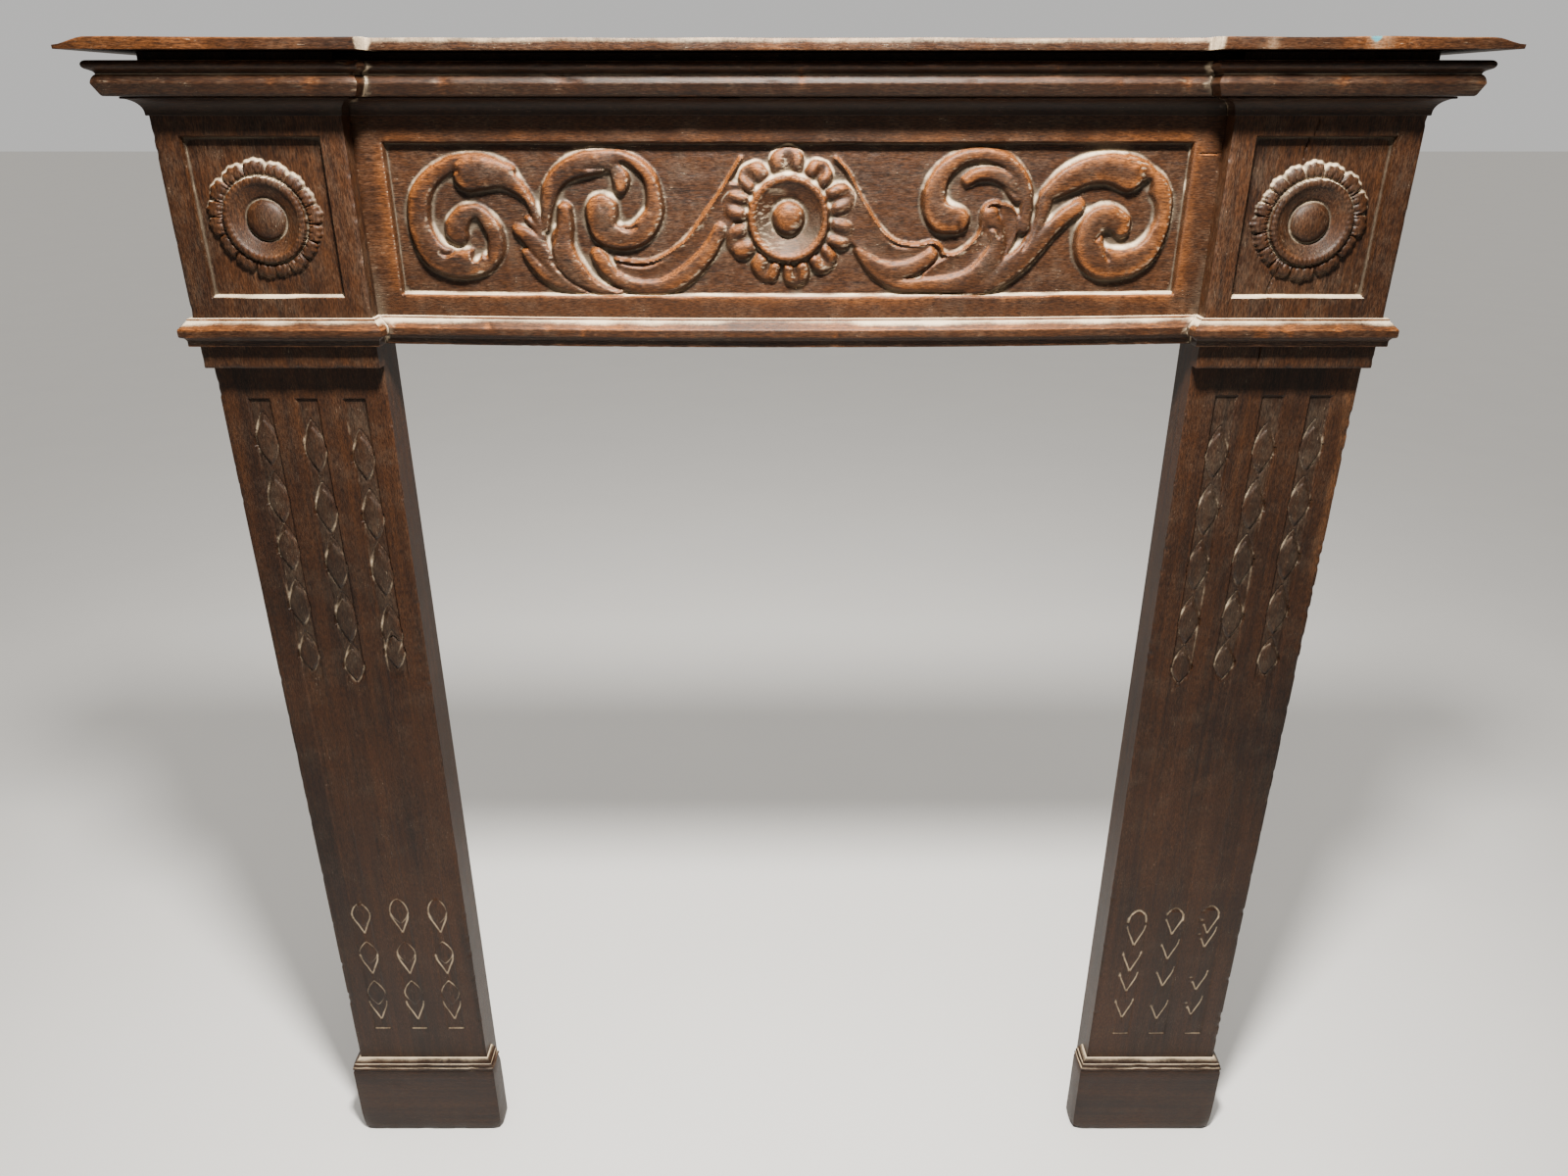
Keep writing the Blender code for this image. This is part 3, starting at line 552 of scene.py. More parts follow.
def tube(name, rings, marks, board, sharp=38):
    """A closed solid through rings of points that all have the same count, with marks to match."""
    steps, count = rings.shape[:2]
    index = np.arange(steps * count).reshape(steps, count)
    after = np.roll(index, -1, axis=1)
    quads = np.stack([index[:-1], after[:-1], after[1:], index[1:]], axis=-1).reshape(-1, 4)
    faces = quads.tolist() + [index[0, ::-1].tolist(), index[-1].tolist()]
    flat_marks = {word: values.reshape(-1) for word, values in marks.items()}
    return lay_mesh(name, rings.reshape(-1, 3).tolist(), faces, flat_marks, board, sharp)


# Profiles of the mouldings, as shares of how far each stands out and how high it is
def arc(middle, radii, first, last, steps):
    """Points on part of an ellipse, between two angles in degrees."""
    angles = np.radians(np.linspace(first, last, steps + 1))
    return [(middle[0] + radii[0] * math.cos(a), middle[1] + radii[1] * math.sin(a)) for a in angles]


def rail_shares():
    """Fillet, undercut, upright face and a slope up to a thin top fillet."""
    return [(0, 0), (0.5, 0), (0.5, 0.22), (0.64, 0.31), (0.96, 0.36), (1, 0.40), (1, 0.62),
            (0.94, 0.67), (0.36, 0.90), (0.30, 1), (0, 1)]


def bed_shares():
    """A hollow between two thin fillets."""
    hollow = arc((0.92, 0.14), (0.80, 0.74), 180, 90, 9)
    return [(0, 0), (0.12, 0), (0.12, 0.14)] + hollow[1:] + [(1, 0.88), (1, 1), (0, 1)]


def crown_shares():
    """Lip, round shoulder, groove and a rounded nose at the top."""
    shoulder = arc((0.74, 0.22), (0.18, 0.40), 20, 80, 7)
    nose = arc((0.88, 0.87), (0.12, 0.13), -60, 90, 8)
    return ([(0, 0), (0.74, 0), (0.78, 0.05)] + shoulder + [(0.80, 0.68), (0.88, 0.73)] + nose
            + [(0, 1)])


def cap_shares():
    """Thin fillet, a round, a groove, and a slope up to the leg."""
    bead = arc((0.60, 0.37), (0.28, 0.17), -50, 70, 6)
    return [(0, 0), (1, 0), (1, 0.15), (0.86, 0.19)] + bead + [(0.58, 0.58), (0.62, 0.66),
                                                              (0.15, 1), (0, 1)]


def plain_shares():
    """The section of a square board."""
    return [(0, 0), (1, 0), (1, 1), (0, 1)]


def eased_profile(shares, out, high, radius, spacing):
    """A closed profile at its real size, its corners eased and its long straights divided."""
    corners = np.array([(x * out, z * high) for x, z in shares])
    points = []
    for index, corner in enumerate(corners):
        before = corners[index - 1]
        after = corners[(index + 1) % len(corners)]
        if corner[0] == 0:
            points.append(corner)
            continue
        cuts = []
        for other in (before, after):
            length = np.linalg.norm(other - corner)
            cuts.append(corner + (other - corner) * min(radius / length, 0.4))
        points += [cuts[0], (cuts[0] + cuts[1] + 2 * corner) / 4, cuts[1]]
    full = []
    for index, point in enumerate(points):
        after = points[(index + 1) % len(points)]
        cuts = max(1, int(np.linalg.norm(after - point) / spacing))
        if point[0] == 0 and after[0] == 0:
            cuts = 1
        full += [point + (after - point) * step / cuts for step in range(cuts)]
    return np.array(full)


def profile_marks(profile, out, dusty):
    """Dust in the hollows and on the ledges of a profile, wear on its corners, and grime with painted
    shade in its parts set back.
    """
    before = np.roll(profile, 1, axis=0)
    after = np.roll(profile, -1, axis=0)
    back = profile - before
    ahead = after - profile
    back = back / np.linalg.norm(back, axis=1, keepdims=True)
    ahead = ahead / np.linalg.norm(ahead, axis=1, keepdims=True)
    bend = back[:, 0] * ahead[:, 1] - back[:, 1] * ahead[:, 0]
    normal = np.stack([(back + ahead)[:, 1], -(back + ahead)[:, 0]], axis=1)
    normal = normal / np.maximum(np.linalg.norm(normal, axis=1, keepdims=True), 0.001)
    deep = 1 - np.clip(profile[:, 0] / out, 0, 1)
    dust = np.clip(-bend * 2.2, 0, 1) * eased_step(normal[:, 1], -0.35, 0.3)
    dust = dust + np.clip(normal[:, 1], 0, 1) ** 2 * dusty * (0.1 + deep)
    wear = np.clip(bend * 1.5, 0, 1) * (profile[:, 0] > 0.25 * out)
    # Parts set back get grime and painted shade.
    haze = 0.7 * deep * (profile[:, 0] > 0)
    return np.clip(dust, 0, 1), haze, np.clip(wear, 0, 1)


class Shade:
    """A shader socket that takes part in sums: an expression on values adds its Math nodes."""

    def __init__(self, finish, socket):
        self.finish = finish
        self.socket = socket

    def math(self, operation, left, right):
        return self.finish.node("Math", {"operation": operation}, {0: left, 1: right})

    def __add__(self, other):
        return self.math("ADD", self, other)

    def __radd__(self, other):
        return self.math("ADD", other, self)

    def __sub__(self, other):
        return self.math("SUBTRACT", self, other)

    def __rsub__(self, other):
        return self.math("SUBTRACT", other, self)

    def __mul__(self, other):
        return self.math("MULTIPLY", self, other)

    def __rmul__(self, other):
        return self.math("MULTIPLY", other, self)

    def __pow__(self, other):
        return self.math("POWER", self, other)


class Finish:
    """The nodes of a material, or of the world, while they are being built."""

    def __init__(self, owner):
        owner.use_nodes = True
        self.tree = owner.node_tree
        self.tree.nodes.clear()

    def node(self, kind, settings=None, values=None, outlet=0):
        """Adds a node, sets its settings, then fills its sockets, and gives one of its outlets."""
        node = self.tree.nodes.new("ShaderNode" + kind)
        for word, setting in (settings or {}).items():
            setattr(node, word, setting)
        for key, value in (values or {}).items():
            if isinstance(value, Shade):
                self.tree.links.new(value.socket, node.inputs[key])
            else:
                node.inputs[key].default_value = value
        return Shade(self, node.outputs[outlet]) if node.outputs else None

    def ramp(self, value, low, high):
        """0 below low, 1 above high."""
        settings = {"interpolation_type": "SMOOTHSTEP", "clamp": True}
        return self.node("MapRange", settings, {0: value, 1: low, 2: high})

    def tint(self, share, under, over):
        """One colour laid over another by a share from 0 to 1."""
        settings = {"data_type": "RGBA", "clamp_factor": True}
        return self.node("Mix", settings, {0: share, 6: under, 7: over}, outlet=2)

    def larger(self, left, right):
        """The larger of two values."""
        return self.node("Math", {"operation": "MAXIMUM"}, {0: left, 1: right})

    def share_along(self, vector, axis):
        """How far a vector goes along one axis."""
        return self.node("SeparateXYZ", {}, {0: vector}, outlet="xyz".index(axis))

    def mark(self, word):
        """A value kept on the mesh's points."""
        return self.node("Attribute", {"attribute_name": word}, outlet=2)

    def noise(self, place, detail=2.0, rough=0.5, scale=1.0):
        """Blotchy noise between 0 and 1."""
        values = {"Vector": place, "Scale": scale, "Detail": detail, "Roughness": rough}
        return self.node("TexNoise", {}, values)


def colour(values):
    """A colour property as the four numbers that a socket takes."""
    return (values[0], values[1], values[2], 1.0)


class Grain:
    """The noises of a board that its colour, dust, roughness and bumps are made from."""

    def __init__(self, finish, run):
        self.finish = finish
        self.run = run
        flat = finish.node("TexCoord", outlet=3)
        board = finish.mark("board")
        shift = finish.node("CombineXYZ", {}, {0: board * 3.1, 1: board * 1.7, 2: board * 2.3})
        self.place = finish.node("VectorMath", {"operation": "ADD"}, {0: flat, 1: shift})
        self.figure = self.drawn_out(1.6, 26, 4, 0.6)
        self.bands = self.drawn_out(4, 150, 3, 0.6)
        self.fibres = self.drawn_out(60, 1000, 2, 0.6)
        self.pores = finish.ramp(self.drawn_out(110, 1300, 1, 0.4), 0.54, 0.68)
        self.streaks = self.drawn_out(170, 900, 3, 0.7)
        self.blotch = finish.noise(self.place, 4, 0.55, 5.0)
        self.patches = finish.noise(self.place, 5, 0.6, 38.0)
        self.speckle = finish.noise(self.place, 3, 0.6, 420.0)

    def drawn_out(self, along, across, detail, rough):
        """Noise drawn out along the grain."""
        scale = [across] * 3
        scale["xyz".index(self.run)] = along
        values = {0: self.place, 1: scale}
        stretched = self.finish.node("VectorMath", {"operation": "MULTIPLY"}, values)
        return self.finish.noise(stretched, detail, rough)


def stained_wood(finish, grain, normal, looks, rub, stain):
    """Colour of the stained wood with its pores and painted shade in hollows, and how far it is
    rubbed through, lightened as painted top light where it faces up.
    """
    wear = finish.mark("wear")
    figure = grain.figure * 0.35 + grain.bands * 0.40 + grain.blotch * 0.30
    tone = finish.ramp(figure, 0.40 - 0.06 * rub, 0.66)
    wood = finish.tint(tone, colour(looks.dark_stain), colour(looks.mid_stain))
    fibre_mask = finish.ramp(grain.fibres, 0.36, 0.64)
    wood = finish.tint(fibre_mask * (0.25 + 0.35 * rub), wood, colour(looks.mid_stain))
    # Painted top light: surfaces that face up are pushed towards the orange worn oak, on top of the
    # real rubbing and wear.
    lit = finish.ramp(finish.share_along(normal, "z"), 0.02, 0.45)
    rubbed = grain.blotch * 0.6 + grain.patches * 0.3 + (lit * 0.26 + 0.15) * rub
    rubbed = finish.ramp(rubbed + wear * (0.12 + 0.20 * rub), 0.66, 1.0)
    wood = finish.tint(rubbed * (0.30 + 0.55 * fibre_mask), wood, colour(looks.worn_oak))
    edge = finish.ramp(wear * (0.5 + grain.patches), 0.85, 1.45)
    wood = finish.tint(edge * 0.5 * rub, wood, colour(looks.edge_oak))
    wood = finish.tint(grain.pores * 0.6, wood, colour(looks.pore))
    wood = finish.tint(stain, wood, colour(looks.dark_stain))
    contrast = 0.50 + 1.1 * finish.ramp(grain.streaks, 0.32, 0.68)
    wood = finish.node("VectorMath", {"operation": "SCALE"}, {0: wood, 3: contrast})
    # Painted shade: the wood is darkened towards the dark stain in hollows, recesses, inner corners
    # and under the grey film, but not on worn crests.
    sheltered = finish.ramp(finish.mark("haze"), 0.05, 0.8) * (1 - wear)
    return finish.tint(sheltered * 0.45, wood, colour(looks.dark_stain)), rubbed


def pale_dust(finish, grain, normal, settling):
    """How much dust lies in hollows, on ledges, in the open pores and on some slopes."""
    haze = finish.mark("haze")
    lying = 0.15 + grain.patches * 1.0 + grain.streaks * 0.2 + grain.speckle * 0.5
    lying = finish.ramp(finish.mark("dust") * lying, 0.26, 0.80)
    ledge = finish.ramp(finish.share_along(normal, "z"), 0.80, 0.99)
    settled = finish.ramp(ledge * (0.25 + grain.patches + grain.speckle * 0.3), 0.42, 0.95)
    flecks = finish.ramp(grain.fibres * 0.6 + grain.speckle * 0.4, 0.60, 0.70)
    flecks = flecks * finish.ramp(grain.patches + haze * 0.3, 0.46, 0.66)
    pale = finish.larger(lying, settled * settling)
    pale = finish.larger(pale, flecks * 0.30)
    if grain.run != "x":
        return pale
    # Short dashes along the grain, on slopes that face a little to the right
    lean = 1 + finish.share_along(normal, "y")
    slanted = finish.ramp(lean, 0.004, 0.06) - finish.ramp(lean, 0.22, 0.42)
    slanted = slanted * finish.ramp(finish.share_along(normal, "x"), 0.0, 0.2)
    lines = finish.ramp(grain.drawn_out(16, 340, 1, 0.5), 0.50, 0.66)
    dashes = lines * slanted * (0.35 + 0.65 * finish.ramp(grain.fibres, 0.35, 0.6))
    dashes = dashes * finish.ramp(grain.blotch * 0.5 + grain.patches * 0.5, 0.38, 0.54)
    return finish.larger(pale, dashes * 0.40)


def oak(slot, run, dirt, rub, stain=0.0):
    """Old stained oak with its grain along one axis, from the finish settings of the scene.

    Dirt is how much pale dust it holds, rub how far its stain is worn through to orange oak and how
    strongly surfaces facing up are lightened as painted top light, and stain how far it is darkened
    all over.
    """
    name = "_".join([slot, run] + [str(round(100 * share)) for share in (dirt, rub, stain)])
    if name in bpy.data.materials:
        return bpy.data.materials[name]
    looks = bpy.context.scene.mantel_finish
    material = bpy.data.materials.new(name)
    finish = Finish(material)
    grain = Grain(finish, run)
    normal = finish.node("NewGeometry", outlet=1)
    wood, rubbed = stained_wood(finish, grain, normal, looks, rub, stain)

    # A thin grey veil, grime in sheltered places, then dust
    veil = finish.ramp(grain.patches * 0.5 + grain.streaks * 0.5, 0.46, 0.66)
    veil = 0.22 * veil * dirt * (1 - 0.6 * rubbed)
    wood = finish.tint(veil, wood, colour(looks.grime))
    grime = finish.mark("haze") * (0.10 + grain.patches * 0.8 + grain.streaks * 0.8)
    grime = finish.ramp(grime, 0.28, 0.95)
    wood = finish.tint(grime * 0.72 * dirt, wood, colour(looks.grime))
    settling = 0.22 if slot == "shelf_oak" else 0.85
    pale = pale_dust(finish, grain, normal, settling) * dirt
    wood = finish.tint(pale, wood, colour(looks.dust))
    if slot == "shelf_oak":
        paint = finish.ramp(finish.mark("paint") * (0.4 + grain.patches), 0.4, 0.7)
        wood = finish.tint(paint, wood, colour(looks.paint))

    ground = 0.00016 * (grain.fibres * 0.8 + grain.bands * 0.6 + grain.speckle * 0.35)
    height = ground - grain.pores * 0.00004 + grain.streaks * 0.00022 + pale * 0.0001
    bump = finish.node("Bump", {}, {"Strength": 0.9, "Distance": 1.0, "Height": height})
    gloss = 0.34 + 0.22 * grain.streaks + 0.14 * grain.patches + 0.42 * pale + 0.12 * grime
    shader = finish.node("BsdfPrincipled", {}, {
        "Base Color": wood, "Roughness": gloss, "Normal": bump, "Specular IOR Level": 0.26})
    finish.node("OutputMaterial", {}, {"Surface": shader})
    return material


def panel_heights(relief, box, depth, ledge):
    """Sinks a panel into the board: steep at the top and sides, a sloped ledge at its foot."""
    left, right, foot, top = box
    rim = 0.35 * wobble(relief.x, relief.z, 30, 5)
    sides = np.minimum(relief.x - left, right - relief.x)
    inward = np.minimum(sides / 1.5, (relief.z - foot + rim) / ledge)
    inward = np.minimum(inward, (top - relief.z + rim) / 1.2)
    sunk = np.clip(inward, 0, 1)
    relief.height = relief.height - depth * sunk
    low_wall = ridge(relief.z, foot + 0.9 * ledge, 0.42 * ledge) * (inward > 0) * (sides > 0.5)
    relief.lay_dust(low_wall * (0.82 + 0.4 * wobble(relief.x, relief.z, 22, 6)))
    edge = np.minimum(sides, top - relief.z + rim)
    relief.calm = eased_step(edge, 2.0, 4.0) * (edge > 0) + (edge < -2)
    line = ridge(edge, 2.0, 1.0) * (relief.z < top - 4) * (relief.z > foot)
    relief.lay_dust(line * (0.25 + 0.40 * wobble(relief.x, relief.z, 16, 9)))
    return sunk


class BoardSettings(bpy.types.PropertyGroup):
    """Sizes shared by the carved boards."""
    panel_depth: bpy.props.FloatProperty(
        name="Panel depth", description="How far the sunk panels lie behind the boards",
        default=0.008, min=0.002, max=0.015, unit="LENGTH")
    grid: bpy.props.FloatProperty(
        name="Carving grid", description="Spacing of the mesh where it is carved",
        default=0.0014, min=0.001, max=0.004, unit="LENGTH")
    sag: bpy.props.FloatProperty(
        name="Sag", description="How far the foot of the frieze hangs down in the middle",
        default=0.0045, min=0.0, max=0.008, unit="LENGTH")
    edge_wear: bpy.props.FloatProperty(
        name="Edge wear", description="How far the arrises of the boards are rubbed down",
        default=0.0008, min=0.0, max=0.003, unit="LENGTH")


class CarvingSettings(bpy.types.PropertyGroup):
    """Heights of the scrolls and rosettes."""
    roll_base: bpy.props.FloatProperty(
        name="Roll base", description="Height of the thinnest roll over the ground",
        default=0.0036, min=0.001, max=0.006, unit="LENGTH")
    roll_gain: bpy.props.FloatProperty(
        name="Roll gain", description="Height that a roll gains for each unit of its half width",
        default=0.40, min=0.1, max=0.7)
    rosette_relief: bpy.props.FloatProperty(
        name="Rosette relief", description="Height of the frieze rosette over the ground",
        default=0.0120, min=0.004, max=0.012, unit="LENGTH")
    block_relief: bpy.props.FloatProperty(
        name="Block rosette relief", description="Height of the block rosettes over the ground",
        default=0.0095, min=0.004, max=0.0095, unit="LENGTH")


class LegSettings(bpy.types.PropertyGroup):
    """Flutes and husks of the legs."""
    flute_width: bpy.props.FloatProperty(
        name="Flute width", description="Width of each flute",
        default=0.0265, min=0.015, max=0.035, unit="LENGTH")
    flute_depth: bpy.props.FloatProperty(
        name="Flute depth", description="Depth of the flutes beside the husks",
        default=0.0029, min=0.001, max=0.006, unit="LENGTH")
    husk_rise: bpy.props.FloatProperty(
        name="Husk rise", description="Height of a husk over the floor of its flute",
        default=0.0019, min=0.0005, max=0.005, unit="LENGTH")


class MouldingSettings(bpy.types.PropertyGroup):
    """How the mouldings are divided and worn."""
    spacing: bpy.props.FloatProperty(
        name="Spacing", description="Distance between the rings of points along a moulding",
        default=0.0055, min=0.002, max=0.03, unit="LENGTH")
    ease: bpy.props.FloatProperty(
        name="Eased corner", description="How far each corner of a profile is rounded",
        default=0.0009, min=0.0002, max=0.003, unit="LENGTH")
    blunt: bpy.props.FloatProperty(
        name="Blunt corners", description="How far the outer corners of the mouldings are rubbed off",
        default=0.0012, min=0.0, max=0.002, unit="LENGTH")
    dents: bpy.props.FloatProperty(
        name="Dents", description="Depth of the knocks in the outer edges",
        default=0.0016, min=0.0, max=0.004, unit="LENGTH")


class ShelfSettings(bpy.types.PropertyGroup):
    """Wear of the shelf."""
    taper: bpy.props.FloatProperty(
        name="Taper", description="How far the ends of the shelf thin down",
        default=0.0065, min=0.0, max=0.009, unit="LENGTH")
    ease: bpy.props.FloatProperty(
        name="Eased edge", description="Rounding of the front edge",
        default=0.0022, min=0.0005, max=0.005, unit="LENGTH")


class FinishSettings(bpy.types.PropertyGroup):
    """Colours of the oak and of what lies on it."""
    dark_stain: bpy.props.FloatVectorProperty(
        name="Dark stain", description="Oak where the stain is thickest", subtype="COLOR",
        size=3, min=0, max=1, default=(0.0060, 0.0024, 0.0013))
    mid_stain: bpy.props.FloatVectorProperty(
        name="Mid stain", description="Oak where the stain is thinner", subtype="COLOR",
        size=3, min=0, max=1, default=(0.038, 0.0130, 0.0034))
    worn_oak: bpy.props.FloatVectorProperty(
        name="Worn oak", description="Orange brown oak where it is rubbed", subtype="COLOR",
        size=3, min=0, max=1, default=(0.22, 0.068, 0.011))
    edge_oak: bpy.props.FloatVectorProperty(
        name="Edge oak", description="Pale oak at knocked edges", subtype="COLOR",
        size=3, min=0, max=1, default=(0.34, 0.16, 0.070))
    pore: bpy.props.FloatVectorProperty(
        name="Pores", description="Dark open pores", subtype="COLOR",
        size=3, min=0, max=1, default=(0.004, 0.0020, 0.0014))
    grime: bpy.props.FloatVectorProperty(
        name="Grime", description="Grey brown film in sheltered places", subtype="COLOR",
        size=3, min=0, max=1, default=(0.085, 0.066, 0.045))
    dust: bpy.props.FloatVectorProperty(
        name="Dust", description="Pale dust and old putty", subtype="COLOR",
        size=3, min=0, max=1, default=(0.60, 0.48, 0.33))
    paint: bpy.props.FloatVectorProperty(
        name="Old paint", description="Blue green spot on the front edge of the shelf",
        subtype="COLOR", size=3, min=0, max=1, default=(0.05, 0.20, 0.24))


class StageSettings(bpy.types.PropertyGroup):
    """Camera, lights and floor."""
    lens: bpy.props.FloatProperty(
        name="Lens", description="Focal length in millimetres on a 36 mm sensor",
        default=24.95, min=10, max=100)
    eye: bpy.props.FloatVectorProperty(
        name="Eye", description="Where the camera stands", size=3, subtype="TRANSLATION",
        unit="LENGTH", default=(-0.0043, -1.2, 1.4346))
    tilt: bpy.props.FloatProperty(
        name="Tilt", description="Angle of the camera from looking straight down",
        default=math.radians(66.12), unit="ROTATION")
    lamp: bpy.props.FloatVectorProperty(
        name="Lamp", description="Where the main lamp hangs", size=3, subtype="TRANSLATION",
        unit="LENGTH", default=(0.02, -0.68, 2.30))
    lamp_power: bpy.props.FloatProperty(
        name="Lamp power", description="Power of the main lamp in watts", default=470.0, min=0)
    fill_power: bpy.props.FloatProperty(
        name="Fill power", description="Power of the soft fill in watts", default=3.0, min=0)
    overhead: bpy.props.FloatProperty(
        name="Overhead", description="Strength of the even light from above", default=1.7, min=0)
    sky: bpy.props.FloatProperty(
        name="Sky", description="Strength of the soft light from all round", default=0.06, min=0)
    floor: bpy.props.FloatVectorProperty(
        name="Floor", description="Colour of the floor", subtype="COLOR", size=3, min=0, max=1,
        default=(0.88, 0.88, 0.88))


def frieze_sag(x, z):
    """How far a place on the frieze hangs down: most at the foot and in the middle."""
    sag = bpy.context.scene.mantel_boards.sag
    middle = np.clip(1 - (x / FRIEZE_HIGH.x) ** 2, 0, 1)
    span = BED_LOW.z - FRIEZE_LOW.z
    return sag * middle * np.clip((BED_LOW.z - z) / span, 0, 1)


class MANTEL_OT_frieze(bpy.types.Operator):
    """Carves the board between the blocks: sunk panel, scrolls, leaves and the middle rosette"""
    bl_idname = "mantel.frieze"
    bl_label = "Carve the frieze"

    def execute(self, context):
        boards = context.scene.mantel_boards
        carving = context.scene.mantel_carving
        grid = boards.grid / MM
        depth = boards.panel_depth / MM
        left, right, foot, top = FRIEZE_PANEL
        edge = FRIEZE_HIGH.x / MM
        low = FRIEZE_LOW.z / MM
        columns = panel_columns(-edge, edge, left, right, 3, grid, 3)
        rows = [(low, low + 1, ARRIS_GRID), (low + 1, RAIL_HIGH.z / MM, 10)]
        rows += panel_rows(foot, top, 2.6, 3.2, grid, 3, FRIEZE_HIGH.z / MM)
        relief = Relief(ruled(*columns), ruled(*rows))
        inside = panel_heights(relief, FRIEZE_PANEL, depth, 2.2)
        ground = -depth
        gain = carving.roll_gain
        base = carving.roll_base / MM
        for cup in FRIEZE_CUPS:
            relief.cup(cup, low=3.4, rise=1.8, ground=ground)
        for roll in FRIEZE_ROLLS:
            relief.roll(roll, base, gain, ground)
        for rim in FRIEZE_RIMS:
            thin = [(x, z, RIM_HALF) for x, z in rim]
            relief.roll(thin, base=5.6, gain=0.4, ground=ground)
        for cut, vein in FRIEZE_VEINS:
            relief.groove(vein, cut, ground)
        for hollow in FRIEZE_HOLLOWS:
            relief.hollow(hollow, ground)
        sizes = (*FRIEZE_ROSETTE, carving.rosette_relief / MM)
        relief.rosette((0.4, 1329), FRIEZE_PETALS, sizes, ground, cuts=1.5)
        relief.height = softened(relief.height, 1)
        lower_part = eased_step(-relief.z, -1330, -1230)
        relief.lay_film(eased_step(np.abs(relief.x), right + 1, 446) * (0.35 + 0.35 * lower_part))
        self.tool_marks(relief, inside)
        relief.settle(40, 1.0)
        relief.noisy_edges(30, boards.edge_wear / MM, 1.2)
        piece = board_from_relief(
            "frieze_board", relief, FACE_Y, FRIEZE_HIGH.y, board=1.0, sag=frieze_sag)
        place_piece(piece, "frieze", oak("carved_oak", "x", dirt=1.0, rub=1.15))
        return {"FINISHED"}

    def tool_marks(self, relief, inside):
        """Leaves the ground uneven from the chisel, and notches in the left stile."""
        uneven = 0.30 * wobble(relief.x, relief.z, 11, 7) + 0.22 * wobble(relief.x, relief.z, 4, 8)
        relief.height = relief.height + uneven * (0.25 + 0.75 * inside)
        stile = eased_step(-419 - relief.x, 0, 2) * eased_step(relief.z - 1252, 0, 4)
        nicks = eased_step(np.sin(relief.z * 0.9 + wobble(relief.x, relief.z, 9, 3)), 0.55, 0.95)
        relief.height = relief.height - 0.35 * nicks * stile * (relief.x > -438)
        relief.groove([(421, 1391, 0.9), (432, 1390.5, 0.9), (446, 1391.5, 0.9)], 1.4)


class MANTEL_OT_blocks(bpy.types.Operator):
    """Carves the two corner blocks with their sunk panels, rosettes and necks"""
    bl_idname = "mantel.blocks"
    bl_label = "Carve the corner blocks"

    def execute(self, context):
        for word, side in SIDES.items():
            self.block(context.scene, word, side)
        return {"FINISHED"}

    def block(self, scene, word, side):
        """One block, ruled finely where it is carved."""
        boards = scene.mantel_boards
        grid = boards.grid / MM * 0.86
        depth = boards.panel_depth / MM
        inner, outer, foot, top = BLOCK_PANEL
        edges = sorted((side * BLOCK_LOW.x / MM, side * BLOCK_HIGH.x / MM))
        ends = sorted((side * inner, side * outer))
        low = BLOCK_LOW.z / MM
        neck = RAIL_LOW.z / MM
        columns = panel_columns(*edges, *ends, 2.5, grid, 2)
        rows = [(low, low + 1, ARRIS_GRID), (low + 1, neck, 2.2), (neck, RAIL_HIGH.z / MM, 8)]
        rows += panel_rows(foot, top, 2.2, 2.5, grid, 2, BLOCK_HIGH.z / MM)
        relief = Relief(ruled(*columns), ruled(*rows))
        panel_heights(relief, (*ends, foot, top), depth, 2.0)
        sizes = (*BLOCK_ROSETTE, scene.mantel_carving.block_relief / MM)
        middle, petals = BLOCK_ROSETTES[word]
        relief.rosette(middle, petals, sizes, -depth, cuts=3, reach=(0.2, 0.6))
        if word == "right":
            self.crack(relief)
        uneven = 0.16 * wobble(relief.x, relief.z, 9, 21 + side)
        relief.height = relief.height + uneven
        relief.settle(30, 1.0)
        relief.height = relief.height - 2.0 * (relief.z < neck)
        relief.noisy_edges(50 + side, boards.edge_wear / MM, 1.6)
        piece = board_from_relief(
            "block_" + word, relief, BLOCK_FACE_Y, BLOCK_HIGH.y, board=4.0 + side)
        looks = oak("carved_oak", "z", dirt=1.0, rub=0.55)
        place_piece(piece, "capital_" + word, looks)

    def crack(self, relief):
        """The split down the right block."""
        split = [(530, 1425, 0.8), (527, 1410, 0.8), (524, 1396, 0.8), (523, 1386, 0.7)]
        relief.groove(split, 2.2)
        relief.groove([(517, 1286, 0.8), (513, 1268, 0.9), (510, 1256, 1.0), (511, 1245, 1.1),
                       (513, 1230, 1.0), (511, 1199, 0.9), (512, 1174, 0.9)], 2.4)


